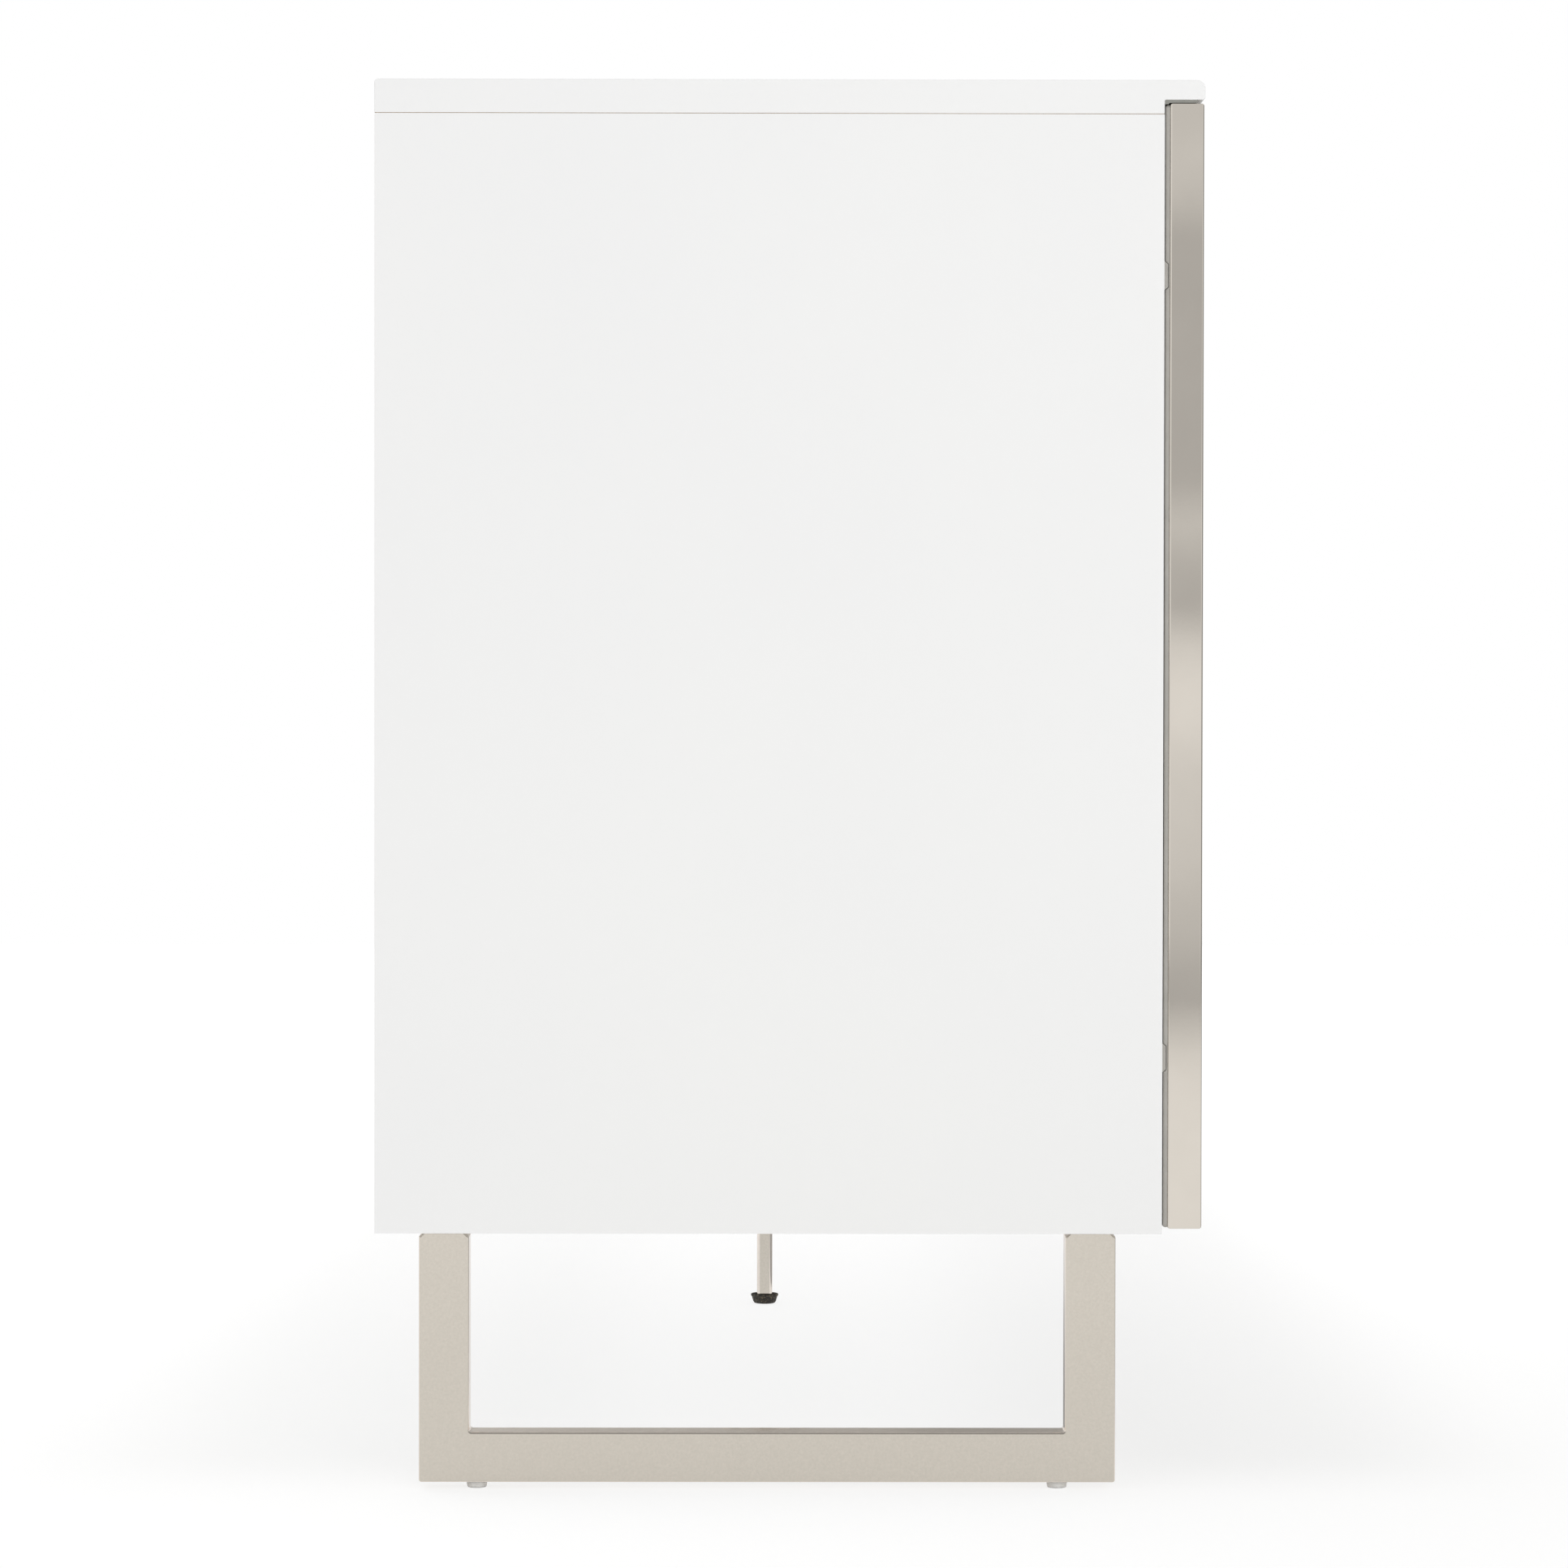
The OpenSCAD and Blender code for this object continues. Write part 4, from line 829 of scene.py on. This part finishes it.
def cam(a, b):
    """Shell of a cam disc that fills its bore, with a cross recess in the open face."""
    upright = (b - a)[0] > (b - a)[2]
    axis = "z" if upright else "x"
    looks = -1 if upright else outward(a, b)
    thick = (b - a)["xyz".index(axis)]
    return screw_shell(a, b, axis, looks, thick * 0.35, (b - a)[1] / 2 * 0.95)


def outward(a, b):
    """Way along X that fittings on a board's inner face look: towards the compartment."""
    middle = (a + b)[0] / 2
    if abs(middle) > OUTER_BOARD:
        return 1 if middle < 0 else -1
    return 1 if middle > 0 else -1


def from_solids(node, make):
    """One shell for each solid of a node, made from its lowest and highest corners."""
    return joined([make(a, b) for a, b in solids(node)])


# node: axis, the way its heads look, head height and shank radius in millimetres
SCREWS = {"back_panel_screws": ("y", 1, 1.8, 1.75), "partition_screws": ("z", -1, 4, 3),
          "sled_foot_screws": ("z", -1, 3, 3), "centre_leg_screws": ("z", -1, 2, 1.75),
          "latch_screws": ("z", -1, 2, 1.75), "hinge_plate_screws": ("x", 0, 2, 2.5),
          "hinge_arm_screws": ("x", 0, 2, 2)}


def screw_set(node):
    """Shells of a node's screws, whose heads look one way or away from their board."""
    axis, way, head, shank = SCREWS[node]
    return from_solids(node, lambda a, b: screw_shell(a, b, axis, way or outward(a, b),
                                                      head * MM, shank * MM))


def door_screw(a, b, rear):
    """Shell of a screw from behind a door: a strike plate's has a lower, slimmer head."""
    head, shank = (1, 1.75) if b[1] > rear else (2, 2)
    return screw_shell(a, b, "y", 1, head * MM, shank * MM)


# ---------- stage ----------

# What polished metal sees. Sine of the elevation, and the level of the studio there: bands
# beyond the near end, and the bright walls all round.
BANDS = [(-1.0, 0.9), (-0.06, 0.54), (-0.0562, 0.547), (-0.0523, 0.62), (-0.0446, 0.686),
         (-0.0407, 0.72), (-0.033, 0.8), (-0.0176, 0.816), (-0.0137, 0.86), (-0.006, 0.97),
         (0.005, 0.97), (0.0088, 0.84), (0.0122, 0.6), (0.0171, 0.56), (0.021, 0.57),
         (0.0248, 0.65), (0.0287, 0.7), (0.0322, 0.78), (0.0348, 0.57), (0.0866, 0.577),
         (0.0904, 0.63), (0.0943, 0.745), (0.0981, 0.79), (0.102, 0.77), (0.1097, 0.736),
         (0.16, 0.7), (0.4, 0.9), (1.0, 1.0)]
# distance from the cabinet's middle, and the level of the floor that metal sees there
PAPER = [(0.0, 1.0), (3.2, 1.0), (3.7, 0.97), (4.05, 0.93), (4.4, 0.86), (4.8, 0.71),
         (5.3, 0.51)]
WALLS = [(-1.0, 0.9), (-0.1, 0.95), (0.2, 0.98), (0.45, 0.8), (0.7, 0.95), (1.0, 1.0)]
# what the shadow's share gains at the near end, loses at the far end and gains beside the
# cabinet, and the share that is left a metre beyond its reach
NEAR_DEEPER, FAR_PALER, BESIDE_DEEPER, SHADOW_LEFT = 0.08, 0.075, 0.13, 0.1
# where each soft edge on the floor starts and is full: from the middle line and from the
# cabinet's rim towards the band beside it, from the near end, and round the mat; then the
# near and the far end of the shadow's slope
BAND_IN, BAND_OUT, BAND_NEAR = (0.05, 0.25), (0.47, 0.31), (-0.95, -0.75)
MAT_FRONT, MAT_NEAR, SLOPE = (-0.07, -0.14), (-0.75, -0.65), (-0.7, 0.5)
# the same for directions: the bands beyond the near end, the low screen before the doors,
# and the ceiling over the near end
NEAR_WAY, SCREEN_WAY, SCREEN_HEIGHT = (-0.8, -0.94), (-0.7, -0.85), (0.15, 0.115)
CEILING_HEIGHT, CEILING_WAY = (0.35, 0.45), (0.0, -0.2)
# part of the shadow that metal mirrors, and greys of the dark mat and of the dark screens
MIRRORED_SHADOW, MAT_GREY, SCREEN_GREY = 0.95, 0.3, 0.36
# place of the camera, and its turn off the X axis: sideways, up and about its own axis
CAMERA_PLACE = (-3.816396, 0.017962, 0.447629)
CAMERA_TURN = (-0.297, -1.055, 0.083)
# each lamp's name, setting for its power, side, place, aim, and whether metal mirrors it
LAMPS = (("lamp_above", "key", 3.4, (1.2, 1.5, 3.4), (0, 0, 0.35), True),
         ("lamp_near_end", "near", 2.4, (-5.6, -0.9, 1.25), (-0.9, 0, 0.4), False),
         ("lamp_front", "front", 2.4, (0.6, -5.5, 1.1), (0, 0, 0.4), False))


def level(tree, value, table):
    """Grey level that a table gives for a value, straight between its rows."""
    first, last = table[0][0], table[-1][0]
    share = add(tree, "ShaderNodeMapRange", {"Value": value, "From Min": first,
                                             "From Max": last})
    return add(tree, "ShaderNodeValToRGB", {"Fac": share.outputs["Result"]},
               [((place - first) / (last - first), (grey, grey, grey, 1))
                for place, grey in table]).outputs["Color"]


def region(tree, *edges):
    """Share that is 1 inside a region and falls softly to 0 past its edges: the product of a
    soft step for each edge. An entry is a value, and where its edge starts and is full."""
    share = None
    for value, (start, full) in edges:
        step = add(tree, "ShaderNodeMapRange", {"Value": value, "From Min": start,
                                                "From Max": full},
                   interpolation_type="SMOOTHSTEP").outputs["Result"]
        share = step if share is None else add(
            tree, "ShaderNodeMath", {0: share, 1: step}, operation="MULTIPLY").outputs[0]
    return share


def stage_floor(stage):
    """Floor: a flat square in the plane Z = 0. The camera and metal see white paper with the
    cabinet's shadow on it, deeper towards the near end and beside the cabinet and fading out
    over a metre, and other light meets plain paper. Metal also sees a dark mat beneath the
    doors, which draws a thin line on the middle leg's edge."""
    reach = stage.floor_reach
    mesh = bpy.data.meshes.new("pale_floor")
    mesh.from_pydata([(-reach, -reach, 0), (reach, -reach, 0), (reach, reach, 0),
                      (-reach, reach, 0)], [], [(0, 1, 2, 3)])
    obj = linked("pale_floor", mesh)
    material, tree = blank("white paper floor")
    mesh.materials.append(material)
    path = add(tree, "ShaderNodeLightPath").outputs
    paper = add(tree, "ShaderNodeBsdfDiffuse", {"Color": linear("#F0F0EF")}).outputs[0]
    white = add(tree, "ShaderNodeEmission", {"Strength": stage.floor_white}).outputs[0]
    place = add(tree, "ShaderNodeTexCoord").outputs["Object"]
    middle = add(tree, "ShaderNodeVectorMath", {0: place}, operation="LENGTH")
    along = add(tree, "ShaderNodeSeparateXYZ", {0: place}).outputs
    out = add(tree, "ShaderNodeMath", {0: along["Y"]}, operation="ABSOLUTE").outputs[0]
    beside = region(tree, (out, BAND_IN), (out, BAND_OUT), (along["X"], BAND_NEAR))
    ends = add(tree, "ShaderNodeMapRange",
               {"Value": along["X"], "From Min": SLOPE[0], "From Max": SLOPE[1],
                "To Min": stage.floor_shadow + NEAR_DEEPER,
                "To Max": stage.floor_shadow - FAR_PALER})
    deep = add(tree, "ShaderNodeMath",
               {0: beside, 1: BESIDE_DEEPER, 2: ends.outputs["Result"]},
               operation="MULTIPLY_ADD").outputs[0]
    share = add(tree, "ShaderNodeMapRange",
                {"Value": middle.outputs["Value"], "From Min": stage.shadow_reach,
                 "From Max": stage.shadow_reach + 1, "To Min": deep,
                 "To Max": SHADOW_LEFT},
                interpolation_type="SMOOTHSTEP").outputs["Result"]
    seen = add(tree, "ShaderNodeMixShader", {0: share, 1: white, 2: paper})
    mat = region(tree, (along["Y"], MAT_FRONT), (along["X"], MAT_NEAR))
    sheen = add(tree, "ShaderNodeMix",
                {0: mat, 6: level(tree, middle.outputs["Value"], PAPER),
                 7: (MAT_GREY, MAT_GREY, MAT_GREY, 1)}, data_type="RGBA")
    sheen = add(tree, "ShaderNodeEmission", {"Color": sheen.outputs[2]}).outputs[0]
    part = add(tree, "ShaderNodeMath", {0: share, 1: MIRRORED_SHADOW},
               operation="MULTIPLY").outputs[0]
    mirrored = add(tree, "ShaderNodeMixShader", {0: part, 1: sheen, 2: paper})
    metal = add(tree, "ShaderNodeMath", {0: path["Is Glossy Ray"],
                                         1: path["Is Transmission Ray"]},
                operation="MAXIMUM").outputs[0]
    rest = add(tree, "ShaderNodeMixShader", {0: metal, 1: paper, 2: mirrored.outputs[0]})
    whole = add(tree, "ShaderNodeMixShader", {0: path["Is Camera Ray"], 1: rest.outputs[0],
                                              2: seen.outputs[0]})
    add(tree, "ShaderNodeOutputMaterial", {"Surface": whole.outputs[0]})


def stage_world(stage):
    """Even light for matt surfaces, white for the camera and through glass, and a studio for
    metal: soft level bands beyond the near end, bright walls, a low dark screen before the
    doors, and a dark ceiling over the near end."""
    world = bpy.data.worlds.new("pale studio")
    bpy.context.scene.world = world
    world.use_nodes = True
    tree = world.node_tree
    tree.nodes.clear()
    path = add(tree, "ShaderNodeLightPath").outputs
    way = add(tree, "ShaderNodeSeparateXYZ",
              {0: add(tree, "ShaderNodeTexCoord").outputs["Generated"]}).outputs
    walls = add(tree, "ShaderNodeMix", {0: region(tree, (way["X"], NEAR_WAY)),
                                        6: level(tree, way["Z"], WALLS),
                                        7: level(tree, way["Z"], BANDS)}, data_type="RGBA")
    height = add(tree, "ShaderNodeMath", {0: way["Z"]}, operation="ABSOLUTE").outputs[0]
    screen = region(tree, (way["Y"], SCREEN_WAY), (height, SCREEN_HEIGHT))
    ceiling = region(tree, (way["Z"], CEILING_HEIGHT), (way["X"], CEILING_WAY))
    dark = add(tree, "ShaderNodeMath", {0: screen, 1: ceiling}, operation="MAXIMUM")
    studio = add(tree, "ShaderNodeMix",
                 {0: dark.outputs[0], 6: walls.outputs[2],
                  7: (SCREEN_GREY, SCREEN_GREY, SCREEN_GREY, 1)}, data_type="RGBA")
    even, white, bands = (
        add(tree, "ShaderNodeBackground", {"Color": tone, "Strength": strength}).outputs[0]
        for tone, strength in (((1, 1, 1, 1), stage.sky), ((1, 1, 1, 1), 1.0),
                               (studio.outputs[2], 1.0)))
    metal = add(tree, "ShaderNodeMixShader", {0: path["Is Glossy Ray"], 1: even, 2: bands})
    seen = add(tree, "ShaderNodeMath", {0: path["Is Camera Ray"],
                                        1: path["Is Transmission Ray"]},
               operation="MAXIMUM").outputs[0]
    whole = add(tree, "ShaderNodeMixShader", {0: seen, 1: metal.outputs[0], 2: white})
    add(tree, "ShaderNodeOutputWorld", {"Surface": whole.outputs[0]})


def soft_lamp(name, power, side, place, aim, mirrored):
    """A square soft lamp that looks at a point, and that metal mirrors or not."""
    data = bpy.data.lights.new(name, "AREA")
    data.shape = "SQUARE"
    data.size = side
    data.energy = power
    obj = linked(name, data)
    obj.location = place
    towards = np.array(aim, float) - np.array(place, float)
    obj.rotation_euler = (math.atan2(math.hypot(towards[0], towards[1]), -towards[2]), 0,
                          math.atan2(towards[1], towards[0]) - math.pi / 2)
    obj.visible_glossy = mirrored


def stage_camera(stage):
    """A long lens before the near end. Its three angles turn it off the X axis."""
    data = bpy.data.cameras.new("camera")
    data.sensor_width = 36
    data.lens = stage.lens
    data.clip_end = 100
    obj = linked("camera", data)
    yaw, pitch, roll = np.radians(CAMERA_TURN)
    ahead = np.array([math.cos(pitch) * math.cos(yaw), math.cos(pitch) * math.sin(yaw),
                      math.sin(pitch)])
    level_right = np.array([math.sin(yaw), -math.cos(yaw), 0])
    upright = np.cross(level_right, ahead)
    turn = np.eye(4)
    turn[:3, 0] = level_right * math.cos(roll) + upright * math.sin(roll)
    turn[:3, 1] = upright * math.cos(roll) - level_right * math.sin(roll)
    turn[:3, 2] = -ahead
    turn[:3, 3] = CAMERA_PLACE
    obj.matrix_world = Matrix(turn.tolist())
    bpy.context.scene.camera = obj
    bpy.context.scene.view_settings.view_transform = "Standard"


# ---------- one operator for the stage and for each group of pieces ----------

# corner radius of the top where it meets the boards and the lip's inner side
TOP_INNER = 0.7 * MM
# round corners of the seal from its front edge on, ease of its ends, and the reach of its
# heel below the doors' top
SEAL_CORNERS = np.array([1.1, 0.2, 0.3, 0.1, 0.1, 0.1]) * MM
SEAL_END, SEAL_DROP = 0.05 * MM, 0.3 * MM


class OBJECT_OT_cabinet_stage(bpy.types.Operator):
    """Pale floor, plain soft light and the camera."""
    bl_idname = "object.cabinet_stage"
    bl_label = "Stage"
    bl_options = {"REGISTER", "UNDO"}

    def execute(self, context):
        stage = context.scene.cabinet_stage
        stage_floor(stage)
        stage_world(stage)
        for name, setting, *rest in LAMPS:
            soft_lamp(name, getattr(stage, setting), *rest)
        stage_camera(stage)
        return {"FINISHED"}


class OBJECT_OT_cabinet_top(bpy.types.Operator):
    """Top with its soft front lip, in one lacquered piece, and the seal under the lip."""
    bl_idname = "object.cabinet_top"
    bl_label = "Top"
    bl_options = {"REGISTER", "UNDO"}

    def execute(self, context):
        sizes = context.scene.cabinet_sizes
        low, high = corners("top_panel")
        lip_low, _ = corners("top_lip")
        # the lip's front is the top's lowest Y, and its underside is above the board's
        front, shoulder, under = lip_low[1], low[1], lip_low[2]
        outline = rounded(
            [(shoulder, low[2]), (high[1], low[2]), (high[1], high[2]), (front, high[2]),
             (front, under), (shoulder, under)],
            [TOP_INNER, TOP_INNER, sizes.rear_radius, sizes.lip_radius, sizes.lip_under,
             TOP_INNER], steps=9)
        shell = skin(prism_rings(outline, low[0], high[0], sizes.top_ease, "yzx"))
        # painted shade: the lowest strip of the top's ends takes the brown of bare fibreboard,
        # a dark line that stands for the shade in the joint
        seam, end = low[2] + sizes.seam, high[0] - sizes.top_ease
        piece("lacquered_top", shell, ["top_panel", "top_lip"], of("lacquer"),
              of("fibreboard"),
              mask=lambda c: (c[:, 2] < seam) & (np.abs(c[:, 0]) > end))
        door_low, door_high = corners("door_1_frame")
        tip, heel = door_low[1] + sizes.seal_back, door_high[1] + sizes.seal_heel
        drop = door_high[2] - SEAL_DROP
        strip = rounded([(tip, under - sizes.seal), (heel, under - sizes.seal),
                         (heel, drop), (shoulder, drop), (shoulder, under), (tip, under)],
                        SEAL_CORNERS)
        shell = skin(prism_rings(strip, low[0] + sizes.top_ease, high[0] - sizes.top_ease,
                                 SEAL_END, "yzx"))
        seal = piece("soft_lip_seal", shell, [], of("seal"))
        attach(seal, BODY_OF["top_lip"])
        return {"FINISHED"}


class OBJECT_OT_cabinet_boards(bpy.types.Operator):
    """Side, bottom, middle and back boards and the shelves, with eased edges."""
    bl_idname = "object.cabinet_boards"
    bl_label = "Boards"
    bl_options = {"REGISTER", "UNDO"}

    def execute(self, context):
        sizes = context.scene.cabinet_sizes
        for node in ("left_side_panel", "right_side_panel", "bottom_panel",
                     "centre_partition"):
            eased_copy(node, sizes.board_ease, of("lacquer"), of("fibreboard"))
        for node in ("left_back_panel", "right_back_panel"):
            eased_copy(node, 0.3 * MM, of("melamine"), of("fibreboard"))
        for side in ("left", "right"):
            shell = eased_box(*corners(side + "_shelf"), sizes.board_ease, "yzx")
            piece(side + "_lacquered_shelf", shell, [side + "_shelf"], of("lacquer"))
        return {"FINISHED"}


class OBJECT_OT_cabinet_doors(bpy.types.Operator):
    """Door frames of mitred steel tube, the white panels inside them, the soft buffers
    behind them and the pads at their hinges."""
    bl_idname = "object.cabinet_doors"
    bl_label = "Doors"
    bl_options = {"REGISTER", "UNDO"}

    def execute(self, context):
        sizes = context.scene.cabinet_sizes
        for n in DOORS:
            piece(f"door_{n}_steel_frame", tube_frame(n, sizes), [f"door_{n}_frame"],
                  of("polished"))
            shell = eased_box(*corners(f"door_{n}_panel"), 0.5 * MM, "zxy")
            piece(f"door_{n}_white_panel", shell, [f"door_{n}_panel"], of("lacquer"))
            seal = piece(f"door_{n}_soft_buffer", buffer_seal(n, sizes), [], of("buffer"),
                         crease=60)
            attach(seal, BODY_OF[f"door_{n}_frame"])
        pads = piece("soft_hinge_pads",
                     joined([pad for n in DOORS for pad in hinge_pads(n, sizes)]), [],
                     of("buffer"))
        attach(pads, BODY_OF["left_side_panel"])
        return {"FINISHED"}


class OBJECT_OT_cabinet_feet(bpy.types.Operator):
    """Sled feet with their glides, and the middle leg with its rubber foot."""
    bl_idname = "object.cabinet_feet"
    bl_label = "Feet"
    bl_options = {"REGISTER", "UNDO"}

    def execute(self, context):
        sizes = context.scene.cabinet_sizes
        outer = corners("right_sled_foot")[1][0]
        for side, sign in (("left", -1), ("right", 1)):
            node = side + "_sled_foot"
            # every face behind the end face takes the second material, the paler steel of the
            # painted highlight
            piece(side + "_satin_sled", sled(node, sign, sizes), [node], of("satin"),
                  of("burnished"),
                  mask=lambda c: np.abs(c[:, 0]) < outer - sizes.sled_bright)
        shell = from_solids("sled_glides", lambda a, b: skin(
            lathe_rings(GLIDE, (*(a + b)[:2] / 2, 0))))
        piece("milky_glides", shell, ["sled_glides"], of("glide"), crease=40)
        low, high = corners("centre_leg")
        flat = sizes.leg / 2 - 0.9 * sizes.leg_radius
        # the leg's round corners take the paler steel of the painted highlight
        piece("slim_middle_leg", middle_leg(sizes), ["centre_leg"], of("drawn"),
              of("burnished"),
              mask=lambda c: np.abs(c - (low + high) / 2)[:, :2].min(1) > flat)
        low, high = corners("centre_leg_foot")
        profile = RUBBER * ((high - low)[0] / 2, high[2])
        piece("black_rubber_foot", skin(lathe_rings(profile, (*(low + high)[:2] / 2, 0))),
              ["centre_leg_foot"], of("rubber"), crease=50)
        return {"FINISHED"}


class OBJECT_OT_cabinet_hardware(bpy.types.Operator):
    """Hinges, latches, shelf pins, cams, cable outlets and screws."""
    bl_idname = "object.cabinet_hardware"
    bl_label = "Hardware"
    bl_options = {"REGISTER", "UNDO"}

    def execute(self, context):
        for node in ("hinge_plates", "hinge_arms"):
            eased_copy(node, 0.3 * MM, of("nickel"))
        for n in DOORS:
            eased_copy(f"door_{n}_hinge_cups", 0.2 * MM, of("nickel"))
            eased_copy(f"door_{n}_hinge_links", 0.2 * MM, of("nickel"))
            eased_copy(f"door_{n}_strike_plate", 0.2 * MM, of("zinc"))
            eased_copy(f"door_{n}_latch_plunger", 0.4 * MM, of("grey plastic"))
            rear = corners(f"door_{n}_frame")[1][1]
            shell = from_solids(f"door_{n}_screws", lambda a, b: door_screw(a, b, rear))
            piece(f"door_{n}_cross_screws", shell, [f"door_{n}_screws"], of("zinc"),
                  crease=30)
        eased_copy("latch_housings", 0.6 * MM, of("white plastic"))
        eased_copy("cam_bolts", 0.3 * MM, of("zinc"))
        for name, node, make, material in (
                ("nickel_shelf_pins", "shelf_pins", shelf_pin, "nickel"),
                ("white_cable_grommets", "cable_grommets", grommet, "white plastic"),
                ("zinc_cam_discs", "cam_discs", cam, "zinc")):
            piece(name, from_solids(node, make), [node], of(material))
        for node in SCREWS:
            piece("cross_" + node, screw_set(node), [node], of("zinc"), crease=30)
        return {"FINISHED"}


class VIEW3D_PT_cabinet(bpy.types.Panel):
    """The cabinet's operators and settings."""
    bl_label = "Cabinet"
    bl_space_type = "VIEW_3D"
    bl_region_type = "UI"
    bl_category = "Cabinet"

    def draw(self, context):
        for operator in OPERATORS:
            self.layout.operator(operator.bl_idname)
        for group in GROUPS:
            settings = getattr(context.scene, group)
            for name in settings.__annotations__:
                self.layout.prop(settings, name)


GROUPS = {"cabinet_sizes": CabinetSizes, "cabinet_colours": CabinetColours,
          "cabinet_stage": CabinetStage}
OPERATORS = (OBJECT_OT_cabinet_stage, OBJECT_OT_cabinet_top, OBJECT_OT_cabinet_boards,
             OBJECT_OT_cabinet_doors, OBJECT_OT_cabinet_feet, OBJECT_OT_cabinet_hardware)


def register():
    """Registers the classes and hangs the settings on the scene."""
    for cls in (*GROUPS.values(), *OPERATORS, VIEW3D_PT_cabinet):
        bpy.utils.register_class(cls)
    for name, group in GROUPS.items():
        setattr(bpy.types.Scene, name, bpy.props.PointerProperty(type=group))


def unregister():
    """Takes the settings and the classes away again."""
    for name in GROUPS:
        delattr(bpy.types.Scene, name)
    for cls in (VIEW3D_PT_cabinet, *OPERATORS[::-1], *GROUPS.values()):
        bpy.utils.unregister_class(cls)


def main():
    """Builds the stage and every piece."""
    register()
    bpy.ops.object.cabinet_stage()
    bpy.ops.object.cabinet_top()
    bpy.ops.object.cabinet_boards()
    bpy.ops.object.cabinet_doors()
    bpy.ops.object.cabinet_feet()
    bpy.ops.object.cabinet_hardware()


if __name__ == "__main__":
    main()
